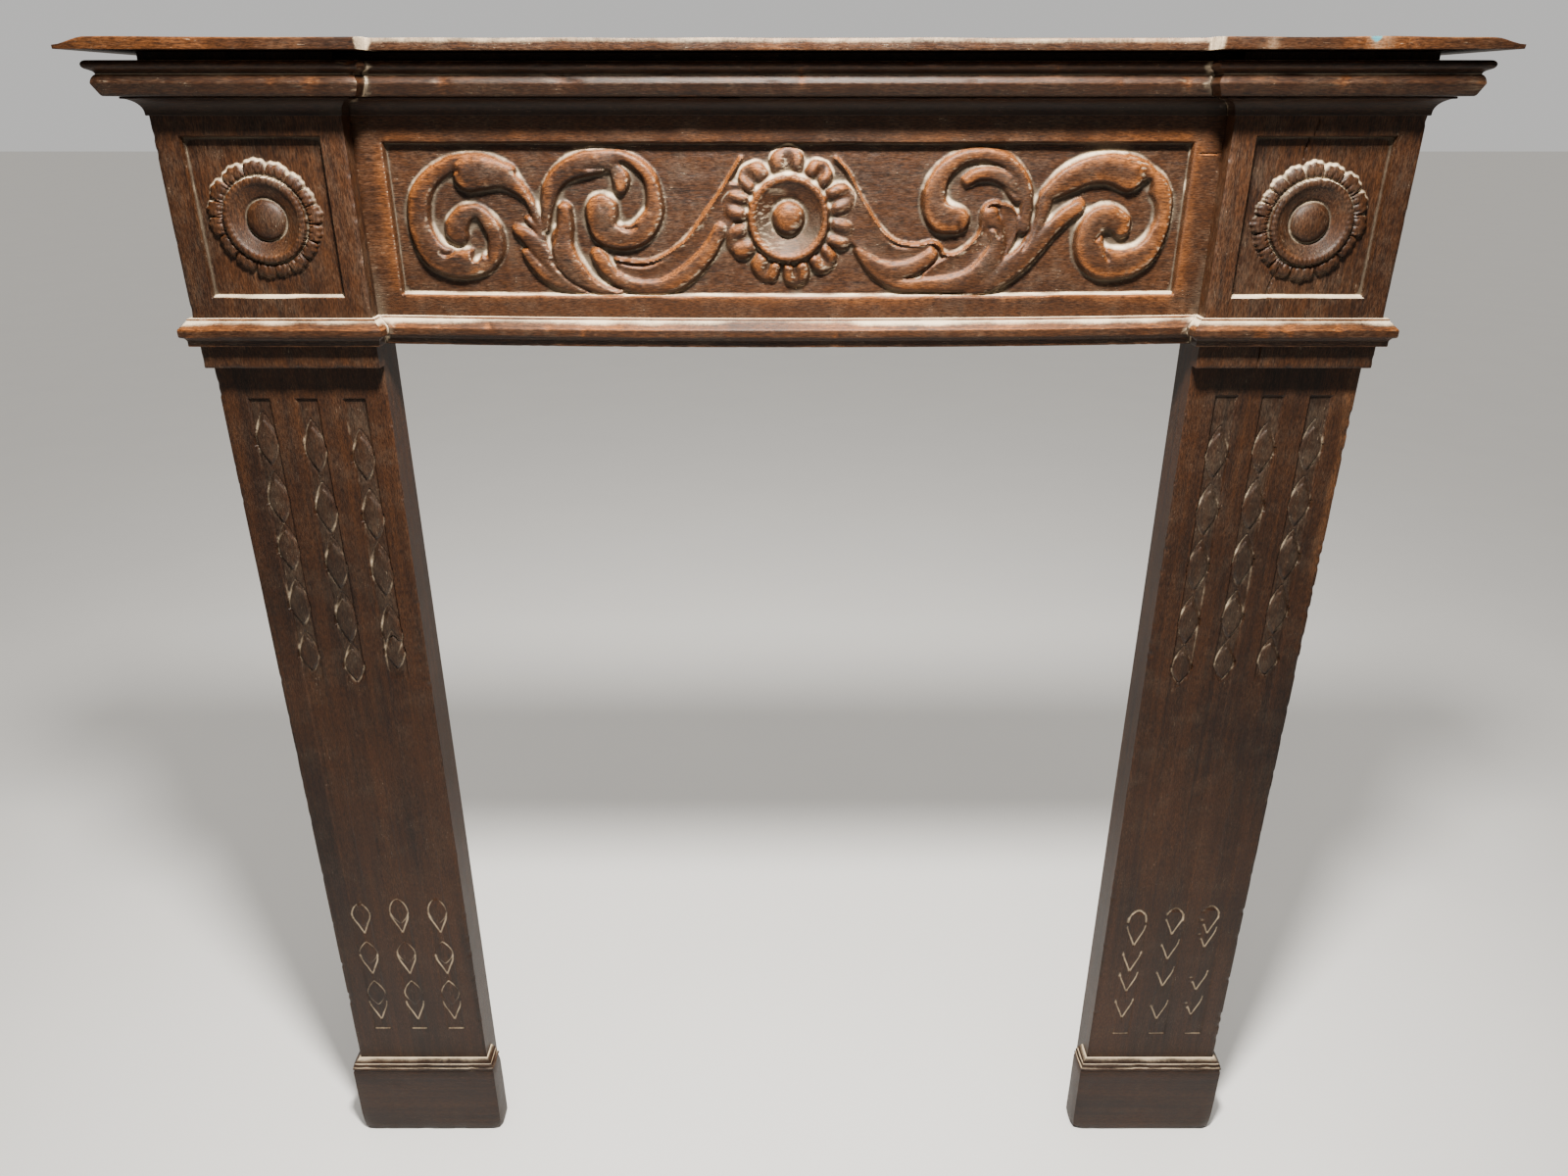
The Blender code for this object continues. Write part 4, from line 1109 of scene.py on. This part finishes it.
class MANTEL_OT_legs(bpy.types.Operator):
    """Makes the two leg boards with their flutes and chains of husks"""
    bl_idname = "mantel.legs"
    bl_label = "Carve the legs"

    def execute(self, context):
        for word, side in SIDES.items():
            self.leg(context.scene, word, side)
        return {"FINISHED"}

    def leg(self, scene, word, side):
        """One leg board, ruled finely only where husks are."""
        legs = scene.mantel_legs
        flutes = LEFT_FLUTES if side < 0 else RIGHT_FLUTES
        half = legs.flute_width / MM / 2
        start, end = sorted((side * SHAFT_LOW.x / MM, side * SHAFT_HIGH.x / MM))
        columns = [(start, start + 1, ARRIS_GRID), (end - 1, end, ARRIS_GRID)]
        edge = start + 1
        for middle, _, _ in flutes:
            columns += [(edge, middle - half - 1, 3.5),
                        (middle - half - 1, middle + half + 1, 1.15)]
            edge = middle + half + 1
        columns.append((edge, end - 1, 3.5))
        rows = LEG_ROWS + [(LEG_ROWS[-1][1], SHAFT_HIGH.z / MM, 22)]
        relief = Relief(ruled(*columns), ruled(*rows))
        foot, top = FLUTE_ENDS[word]
        for index, (middle, upper, lower) in enumerate(flutes):
            self.flute(relief, legs, middle, foot, top, index)
            for husk_top, tip in upper:
                self.sheath(relief, half - 1, middle, husk_top, tip)
                self.husk(relief, legs, middle, husk_top, tip)
            for husk_top, tip, leaves in lower:
                self.husk(relief, legs, middle, husk_top, tip, LOW_FLUTE, husk_top > ROUND_TOPS)
                self.leaves(relief, half - 0.6, middle, leaves)
        if word == "right":
            for middle, crown, tips in RIGHT_ARROWS:
                self.arrows(relief, legs, middle, crown, tips)
        relief.height = relief.height + 0.22 * wobble(relief.x, relief.z * 0.25, 12, 60 + side)
        relief.settle(24, 0.85)
        if word == "right":
            # The rubbed upper part of its outer edge
            patch = eased_step(relief.x, 608, 634) * eased_step(relief.z, 820, 960)
            patch = patch * (1 + 0.5 * wobble(relief.x, relief.z * 0.3, 16, 66))
            relief.wear = np.maximum(relief.wear, 1.5 * patch)
        relief.noisy_edges(70 + side, scene.mantel_boards.edge_wear / MM, 2.2)
        back = SHAFT_HIGH.y + LEG_BACKING
        piece = board_from_relief("leg_board_" + word, relief, FACE_Y, back, board=7.0 + side)
        looks = oak("leg_oak", "z", dirt=0.65, rub=0.15, stain=0.12)
        place_piece(piece, "shaft_" + word, looks)

    def flute(self, relief, legs, middle, foot, top, index):
        """A shallow flute, deeper where the husks are than between them."""
        half = legs.flute_width / MM / 2
        wander = 0.5 * wobble(relief.z, relief.z * 0, 90, 40 + index)
        off = np.abs(relief.x - middle + wander)
        wall = eased_step(half - off, 0, 2.2)
        ends = eased_step(relief.z - foot, 0, 1.6) * eased_step(top - relief.z, 0, 1.2)
        # Shares that are 1 beside the upper and the lower chain of husks
        upper = eased_step(relief.z, 760, 800)
        lower = 1 - eased_step(relief.z, 404, 432)
        floor = legs.flute_depth / MM * np.maximum(upper, lower * LOW_FLUTE)
        plain = 0.9 + 0.4 * (1 - (off / half) ** 2)
        relief.height = relief.height - np.maximum(floor, plain) * wall * ends
        relief.lay_film(wall * ends * (0.12 + 0.40 * np.maximum(upper, 0.2 * lower)))
        outer_wall = ridge(off, half - 1.4, 1.0) * (np.sign(middle) * (relief.x - middle) > 0)
        uneven = 0.42 + 0.3 * wobble(relief.x, relief.z, 20, 80 + index)
        relief.lay_dust(outer_wall * ends * upper * uneven)
        relief.lay_dust(0.9 * wall * ridge(relief.z, foot + 0.8, 1.0))

    def husk(self, relief, legs, middle, top, tip, sunk=1.0, rounded=False):
        """A pointed oval bud with a cut all round it."""
        half = legs.flute_width / MM / 2 - 1.0
        centre = (top + tip) / 2
        reach = (top - tip) / 2
        along = (relief.z - centre) / reach
        body = np.clip(1 - np.abs(along) ** 1.7, 0, 1)
        if rounded:
            body = np.where(along > 0, np.clip(1 - np.abs(along) ** 1.8, 0, 1) ** 0.62, body)
        wide = half * body
        gap = np.where(np.abs(along) < 1, wide - np.abs(relief.x - middle), -9)
        inside = eased_step(gap, -0.4, 1.5)
        share = np.clip(np.abs(relief.x - middle) / np.maximum(wide, 0.5), 0, 1)
        floor = -legs.flute_depth / MM * sunk
        dome = floor + legs.husk_rise / MM * sunk * (1 - 0.35 * share ** 2) * inside
        near = gap > -1.6
        cut = floor - 0.5 * ridge(gap, -0.5, 0.8)
        relief.height = np.where(near, np.maximum(cut, dome), relief.height)
        line = ridge(gap, -0.2, 0.9)
        if top > BETWEEN_HUSKS:
            line = line * (0.60 + 0.14 * np.sign(relief.x - middle) * np.sign(centre - relief.z))
        else:
            line = line * (1.1 + 0.5 * eased_step(along, 0.3, 0.9))
        relief.lay_dust(line * (0.75 + 0.4 * wobble(relief.x, relief.z, 15, int(tip))))

    def sheath(self, relief, half, middle, top, tip):
        """Leaves that spread from behind the top of a husk, and ones that close under its tip."""
        for way in (-1, 1):
            side = way * half
            spread = [(middle, top + 8, 0.8), (middle + side * 0.45, top - 1, 1.1),
                      (middle + side * 0.85, top - 15, 1.2), (middle + side, top - 29, 0.9)]
            self.dusty_cut(relief, spread, 1.0, 0.62 - 0.12 * way)
            closing = [(middle + side * 0.95, tip + 24, 0.8), (middle + side * 0.6, tip + 8, 1.1),
                       (middle + side * 0.1, tip - 3, 1.0)]
            self.dusty_cut(relief, closing, 0.9, 0.58)

    def arrows(self, relief, legs, middle, crown, tips):
        """Husks cut as arrowheads, one under another, below a rounded top."""
        half = legs.flute_width / MM / 2 - 0.6
        inside = (np.abs(relief.x - middle) < half) & (relief.z < crown - 6) & (relief.z > 186)
        share = np.abs(relief.x - middle) / half
        dome = -legs.flute_depth / MM * LOW_FLUTE + 1.0 * (1 - share ** 2)
        relief.height = np.where(inside, np.maximum(relief.height, dome), relief.height)
        arch = [(middle - half, crown - 22, 1.3), (middle - half * 0.8, crown - 8, 1.4),
                (middle, crown, 1.6), (middle + half * 0.8, crown - 8, 1.4),
                (middle + half, crown - 22, 1.3)]
        self.dusty_cut(relief, arch, 1.6, 1.2)
        for tip in tips:
            self.leaves(relief, half, middle, tip)

    def leaves(self, relief, half, middle, tip):
        """Two gouge cuts that meet in a point."""
        for way in (-1, 1):
            side = way * half
            arm = [(middle + side, tip + 36, 0.9), (middle + side * 0.85, tip + 26, 1.1),
                   (middle + side * 0.4, tip + 13, 1.2), (middle, tip, 1.1)]
            self.dusty_cut(relief, arm, 1.0, 1.4)
        relief.groove([(middle, tip + 3, 1.0), (middle, tip - 3, 0.9), (middle, tip - 8, 0.7)], 0.8)

    def dusty_cut(self, relief, points, depth, strength):
        """A gouge cut with dust packed into it."""
        relief.groove(points, depth)
        line = strength * np.clip(1.2 - relief.reach(points)[0], 0, 1)
        seed = int(points[0][1])
        relief.lay_dust(line * (0.95 + 0.3 * wobble(relief.x, relief.z, 13, seed)))


class MANTEL_OT_side_boards(bpy.types.Operator):
    """Makes the plain side boards that run back to the wall"""
    bl_idname = "mantel.side_boards"
    bl_label = "Plane the side boards"

    def execute(self, context):
        ease = 0.0015
        spacing = 0.03
        for word, side in SIDES.items():
            node = "cheek_" + word
            low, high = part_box(node)
            deep = high.y - low.y
            section = eased_profile(plain_shares(), deep, high.x - low.x, ease, 0.012)
            steps = int((high.z - low.z) / spacing) + 1
            rings = np.zeros((steps, len(section), 3))
            rings[:, :, 0] = low.x + section[:, 1]
            rings[:, :, 1] = low.y + section[:, 0]
            rings[:, :, 2] = np.linspace(low.z, high.z, steps)[:, None]
            rough = wobble(rings[:, :, 2] / MM, rings[:, :, 1] / MM, 40, 90 + side)
            rings[:, :, 0] -= side * 0.0003 * (1 + rough)
            back = eased_step(rings[:, :, 1], high.y - 0.004, high.y)
            marks = {"dust": 0.5 * back, "haze": 0.35 + 0 * back, "wear": 0.5 * (1 - back)}
            piece = tube("side_board_" + word, rings, marks, 11.0 + side)
            place_piece(piece, node, oak("side_oak", "z", dirt=0.55, rub=0.35))
        return {"FINISHED"}


# Each kind of moulding: its profile, its slot, the number of its first board, and its looks as
# dirt, rub, dust on ledges and stain. The stain of the bed and the crown is partly painted shade,
# where the shelf's shadow falls on them. The plinth boards have corners eased more than the rest, and
# at the floor by a further share.
MOULDINGS = {
    "rail": {"shares": rail_shares(), "slot": "moulding_oak", "board": 20.0,
             "looks": (0.95, 0.9, 0.8, 0)},
    "bed": {"shares": bed_shares(), "slot": "moulding_oak", "board": 23.0,
            "looks": (0.2, 0.1, 0.2, 0.4)},
    "crown": {"shares": crown_shares(), "slot": "moulding_oak", "board": 26.0,
              "looks": (0.8, 0.55, 1.6, 0.2)},
    "plinth": {"shares": plain_shares(), "slot": "plinth_oak", "board": 40.0,
               "looks": (0.3, 0.05, 0.3, 0.35), "ease": 0.005, "ease_low": 2.5},
    "plinth_cap": {"shares": cap_shares(), "slot": "plinth_oak", "board": 43.0,
                   "looks": (1.0, 0.3, 0.95, 0.1)},
}
# How the two ends of each length lean with the profile: 1 grows, -1 shrinks, 0 is square
CENTRE_ENDS = (-1, -1)
BLOCK_ENDS = {"front": (1, 1), "inner": (1, -1), "outer": (1, 0)}
FOOT_ENDS = {"front": (1, 1), "inner": (1, 0), "outer": (1, 0)}


def run_moulding(node, kind, board, ends):
    """One length of moulding in the place of a node, swept between its two mitres."""
    low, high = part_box(node)
    high.z += BED_RISE * (kind == "bed")
    sizes = bpy.context.scene.mantel_mouldings
    moulding = MOULDINGS[kind]
    part, word = node.split("_")[-2:]
    if word == "centre" or part == "front":
        out, start, end, run = high.y - low.y, low.x, high.x, "x"
    else:
        out, start, end, run = high.x - low.x, low.y, high.y, "y"
    tall = high.z - low.z
    ease = moulding.get("ease", sizes.ease)
    profile = eased_profile(moulding["shares"], out, tall, ease, 0.011)
    p = profile[None, :, 0]
    up = profile[None, :, 1]

    # The mitres, with the outer corners rubbed off
    grows = [lean > 0 for lean in ends]
    rim = eased_step(p / out, 0.55, 0.85)
    blunt = rim * sizes.blunt * (1 + moulding.get("ease_low", 0.0) * np.exp(-up / 0.012))
    wall_start = start + out * grows[0]
    wall_end = end - out * grows[1]
    steps = max(4, int((wall_end - wall_start) / sizes.spacing))
    first = wall_start - ends[0] * (p - blunt * grows[0])
    last = wall_end + ends[1] * (p - blunt * grows[1])
    along = first + (last - first) * np.linspace(0, 1, steps + 1)[:, None]
    turn = grows[0] * ridge(along, first, 0.005) + grows[1] * ridge(along, last, 0.005)

    # Knocks and ripples in the face
    z = low.z + up + 0 * along
    seed = int(board * 10)
    knock = np.clip(wobble(along / MM, z / MM, 13, seed) - 0.52, 0, 1) * 2.2
    ripple = 0.00016 * (1 + wobble(along / MM, z / MM, 21, seed + 1)) * (p > 0)
    away = np.maximum(p - knock * sizes.dents * rim - ripple - turn * blunt, 0)
    z = z - 0.5 * knock * sizes.dents * rim * (up > 0.6 * tall)
    rings = np.zeros((*along.shape, 3))
    if run == "x":
        rings[:, :, 0] = along
        rings[:, :, 1] = high.y - away
    else:
        outward = SIDES[word] if part == "outer" else -SIDES[word]
        wall = low.x if outward > 0 else high.x
        rings[:, :, 0] = wall + outward * away
        rings[:, :, 1] = along
    rings[:, :, 2] = z
    if node == "rail_centre":
        rings[:, :, 2] -= frieze_sag(rings[:, :, 0], rings[:, :, 2])

    dirt, rub, dusty, stain = moulding["looks"]
    dust, haze, wear = profile_marks(profile, out, dusty)
    uneven = 1 + 0.5 * wobble(along / MM, z / MM, 30, seed + 2)
    rough = 0.5 + 0.9 * wobble(along / MM, z / MM, 5, seed + 4)
    # Inner mitre corners: dust, and grime with painted shade.
    corner = ((ends[0] < 0) * np.exp(-(along - first) / 0.007)
              + (ends[1] < 0) * np.exp(-(last - along) / 0.007))
    marks = {"dust": np.clip(np.maximum(dust * uneven, 0.8 * corner * rough), 0, 1),
             "haze": np.maximum(haze * uneven, 0.8 * corner),
             "wear": np.clip(wear * uneven + knock * rim, 0, 1)}
    piece = tube(node + "_run", rings, marks, board, 30)
    slot = moulding["slot"]
    place_piece(piece, node, oak(slot, run, dirt, rub, stain))


def run_round(kind, ends_of_parts):
    """Runs one kind of moulding round both blocks, or round both feet."""
    board = MOULDINGS[kind]["board"]
    for word in SIDES:
        for part, ends in ends_of_parts.items():
            board += 0.3
            run_moulding("_".join((kind, part, word)), kind, board, ends)


class MANTEL_OT_mouldings(bpy.types.Operator):
    """Runs the rail, bed and crown mouldings round the blocks and along the frieze"""
    bl_idname = "mantel.mouldings"
    bl_label = "Run the mouldings"

    def execute(self, context):
        for kind in ("rail", "bed", "crown"):
            run_moulding(kind + "_centre", kind, MOULDINGS[kind]["board"], CENTRE_ENDS)
            run_round(kind, BLOCK_ENDS)
        return {"FINISHED"}


class MANTEL_OT_plinths(bpy.types.Operator):
    """Fits the plinth boards and their caps round the feet"""
    bl_idname = "mantel.plinths"
    bl_label = "Fit the plinths"

    def execute(self, context):
        for kind in ("plinth", "plinth_cap"):
            run_round(kind, FOOT_ENDS)
        return {"FINISHED"}


class MANTEL_OT_shelf(bpy.types.Operator):
    """Makes the shelf, deeper over the blocks, with thinned ends and a rubbed front edge"""
    bl_idname = "mantel.shelf"
    bl_label = "Plane the shelf"

    def execute(self, context):
        sizes = context.scene.mantel_shelf
        ramp = 0.0008
        step = SHELF_STEP_X
        half = SHELF_HIGH.x
        thick = SHELF_HIGH.z - SHELF_LOW.z
        spans = ((-half, -step - ramp), (-step + ramp, step - ramp), (step + ramp, half))
        xs = ruled(*[(start, end, 0.006) for start, end in spans])
        section = eased_profile(plain_shares(), 1.0, thick, sizes.ease, 0.12)
        turn = np.arctan2(section[:, 1] - thick / 2, section[:, 0] - 0.5)
        section = section[np.argsort(turn)]
        x = xs[:, None]
        reach = section[None, :, 0]
        up = section[None, :, 1]
        lift = up / thick
        middle = np.abs(x) < step
        front = np.where(np.abs(x) > step, SHELF_LOW.y, SHELF_MIDDLE_Y)

        def uneven(cell, seed):
            """Unevenness that only changes along the shelf."""
            return wobble(x / MM, 0 * lift, cell, seed)

        near = eased_step(reach, 0.9, 1.0)
        knock = np.clip(wobble(x / MM, up / MM, 17, 3) - 0.45, 0, 1)
        taper = sizes.taper * eased_step(np.abs(x) / half, 0.955, 1.0) * lift
        dip = 0.0008 * (1 + uneven(70, 9)) * near * lift
        rings = np.zeros((len(xs), len(section), 3))
        rings[:, :, 0] = x
        rings[:, :, 1] = SHELF_HIGH.y - (SHELF_HIGH.y - front) * reach
        rings[:, :, 1] += near * (0.0004 + 0.0024 * knock)
        rings[:, :, 2] = SHELF_LOW.z + up - taper - dip

        right_end = near * (x > step) * (0.55 + 0.45 * uneven(25, 6))
        worn = near * (0.1 + 0.7 * (1 + uneven(60, 4)) / 2)
        # Between the blocks, wear rises towards the top of the front edge: wear, and partly a painted
        # highlight.
        worn = np.maximum(np.maximum(worn, near * middle * lift), right_end)
        corner = 0.65 * ridge(np.abs(x), step, 0.0025)
        # Dust along the top of the front edge between the blocks, partly a painted highlight.
        between = 0.45 * middle * eased_step(lift, 0.1, 0.7) * near
        dust = np.maximum(np.maximum(corner, between), 0.35 * right_end)
        paint = near * ridge(x, SHELF_PAINT_X, 0.006) * eased_step(lift, 0.3, 0.9)
        marks = {"dust": dust, "haze": 0.25 + 0 * worn, "wear": worn, "paint": paint}
        piece = tube("shelf_board", rings, marks, 50.0, 30)
        place_piece(piece, "shelf", oak("shelf_oak", "x", dirt=1.0, rub=0.6))
        return {"FINISHED"}


class MANTEL_OT_stage(bpy.types.Operator):
    """Lays the pale floor, hangs the lights and stands the camera where the photograph was taken"""
    bl_idname = "mantel.stage"
    bl_label = "Set the stage"

    def execute(self, context):
        stage = context.scene.mantel_stage
        self.floor(stage)
        main = self.lamp("main_lamp", "SPOT", stage.lamp, LAMP_TARGET, stage.lamp_power)
        main.spot_size = math.radians(112)
        main.spot_blend = 1.0
        main.shadow_soft_size = 0.11
        fill = self.lamp("front_fill", "AREA", FILL_PLACE, FILL_TARGET, stage.fill_power)
        fill.size = 2.6
        overhead = self.lamp("overhead", "SUN", OVERHEAD_PLACE, (0, 0, 0), stage.overhead)
        overhead.angle = math.radians(40)
        self.sky(context.scene, stage)
        camera = bpy.data.cameras.new("view")
        camera.lens = stage.lens
        camera.sensor_width = 36
        eye = bpy.data.objects.new("view", camera)
        eye.location = stage.eye
        eye.rotation_euler = (stage.tilt, 0, 0)
        context.scene.collection.objects.link(eye)
        context.scene.camera = eye
        return {"FINISHED"}

    def floor(self, stage):
        """A wide, very slightly mottled floor."""
        reach = 40
        points = [(-reach, -reach, 0), (reach, -reach, 0), (reach, reach, 0), (-reach, reach, 0)]
        mesh = bpy.data.meshes.new("floor")
        mesh.from_pydata(points, [], [(0, 1, 2, 3)])
        plane = bpy.data.objects.new("floor", mesh)
        bpy.context.scene.collection.objects.link(plane)
        material = bpy.data.materials.new("pale_floor")
        finish = Finish(material)
        place = finish.node("TexCoord", outlet=3)
        mottle = finish.noise(place, 4, 0.6, 3.0)
        pale = colour(stage.floor)
        darker = tuple(0.95 * part for part in pale[:3]) + (1.0,)
        shade = finish.tint(mottle, pale, darker)
        shader = finish.node("BsdfPrincipled", {}, {"Base Color": shade, "Roughness": 0.9})
        finish.node("OutputMaterial", {}, {"Surface": shader})
        mesh.materials.append(material)

    def lamp(self, name, kind, place, target, power):
        """A soft lamp turned towards a point."""
        light = bpy.data.lights.new(name, kind)
        light.energy = power
        light.color = LAMP_TINT
        lamp = bpy.data.objects.new(name, light)
        lamp.location = place
        away = lamp.location - Vector(target)
        lamp.rotation_euler = away.to_track_quat("Z", "Y").to_euler()
        bpy.context.scene.collection.objects.link(lamp)
        return light

    def sky(self, scene, stage):
        """An even pale sky that shows brighter than it lights."""
        world = bpy.data.worlds.new("pale_sky")
        sky = Finish(world)
        lights = sky.node("Background", {}, {"Color": SKY_TINT, "Strength": stage.sky})
        shows = sky.node("Background", {}, {"Color": SKY_TINT, "Strength": SKY_SEEN})
        seen = sky.node("LightPath")
        both = sky.node("MixShader", {}, {0: seen, 1: lights, 2: shows})
        sky.node("OutputWorld", {}, {"Surface": both})
        scene.world = world


class MANTEL_PT_panel(bpy.types.Panel):
    """Lists the pieces of the mantel and their sizes"""
    bl_label = "Carved oak mantel"
    bl_idname = "MANTEL_PT_panel"
    bl_space_type = "VIEW_3D"
    bl_region_type = "UI"
    bl_category = "Mantel"

    def draw(self, context):
        for maker in MAKERS:
            self.layout.operator(maker.bl_idname)
        for word, group in SETTINGS.items():
            self.layout.label(text=group.__doc__)
            settings = getattr(context.scene, word)
            for size in group.__annotations__:
                self.layout.prop(settings, size)


SETTINGS = {
    "mantel_boards": BoardSettings,
    "mantel_carving": CarvingSettings,
    "mantel_legs": LegSettings,
    "mantel_mouldings": MouldingSettings,
    "mantel_shelf": ShelfSettings,
    "mantel_finish": FinishSettings,
    "mantel_stage": StageSettings,
}
MAKERS = (
    MANTEL_OT_frieze, MANTEL_OT_blocks, MANTEL_OT_legs, MANTEL_OT_side_boards,
    MANTEL_OT_mouldings, MANTEL_OT_plinths, MANTEL_OT_shelf, MANTEL_OT_stage,
)


def register():
    for group in SETTINGS.values():
        bpy.utils.register_class(group)
    for word, group in SETTINGS.items():
        setattr(bpy.types.Scene, word, bpy.props.PointerProperty(type=group))
    for maker in MAKERS:
        bpy.utils.register_class(maker)
    bpy.utils.register_class(MANTEL_PT_panel)


def unregister():
    bpy.utils.unregister_class(MANTEL_PT_panel)
    for maker in reversed(MAKERS):
        bpy.utils.unregister_class(maker)
    for word in SETTINGS:
        delattr(bpy.types.Scene, word)
    for group in reversed(list(SETTINGS.values())):
        bpy.utils.unregister_class(group)


def main():
    """Builds every piece and the stage."""
    register()
    bpy.ops.mantel.frieze()
    bpy.ops.mantel.blocks()
    bpy.ops.mantel.legs()
    bpy.ops.mantel.side_boards()
    bpy.ops.mantel.mouldings()
    bpy.ops.mantel.plinths()
    bpy.ops.mantel.shelf()
    bpy.ops.mantel.stage()
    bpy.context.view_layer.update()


if __name__ == "__main__":
    main()
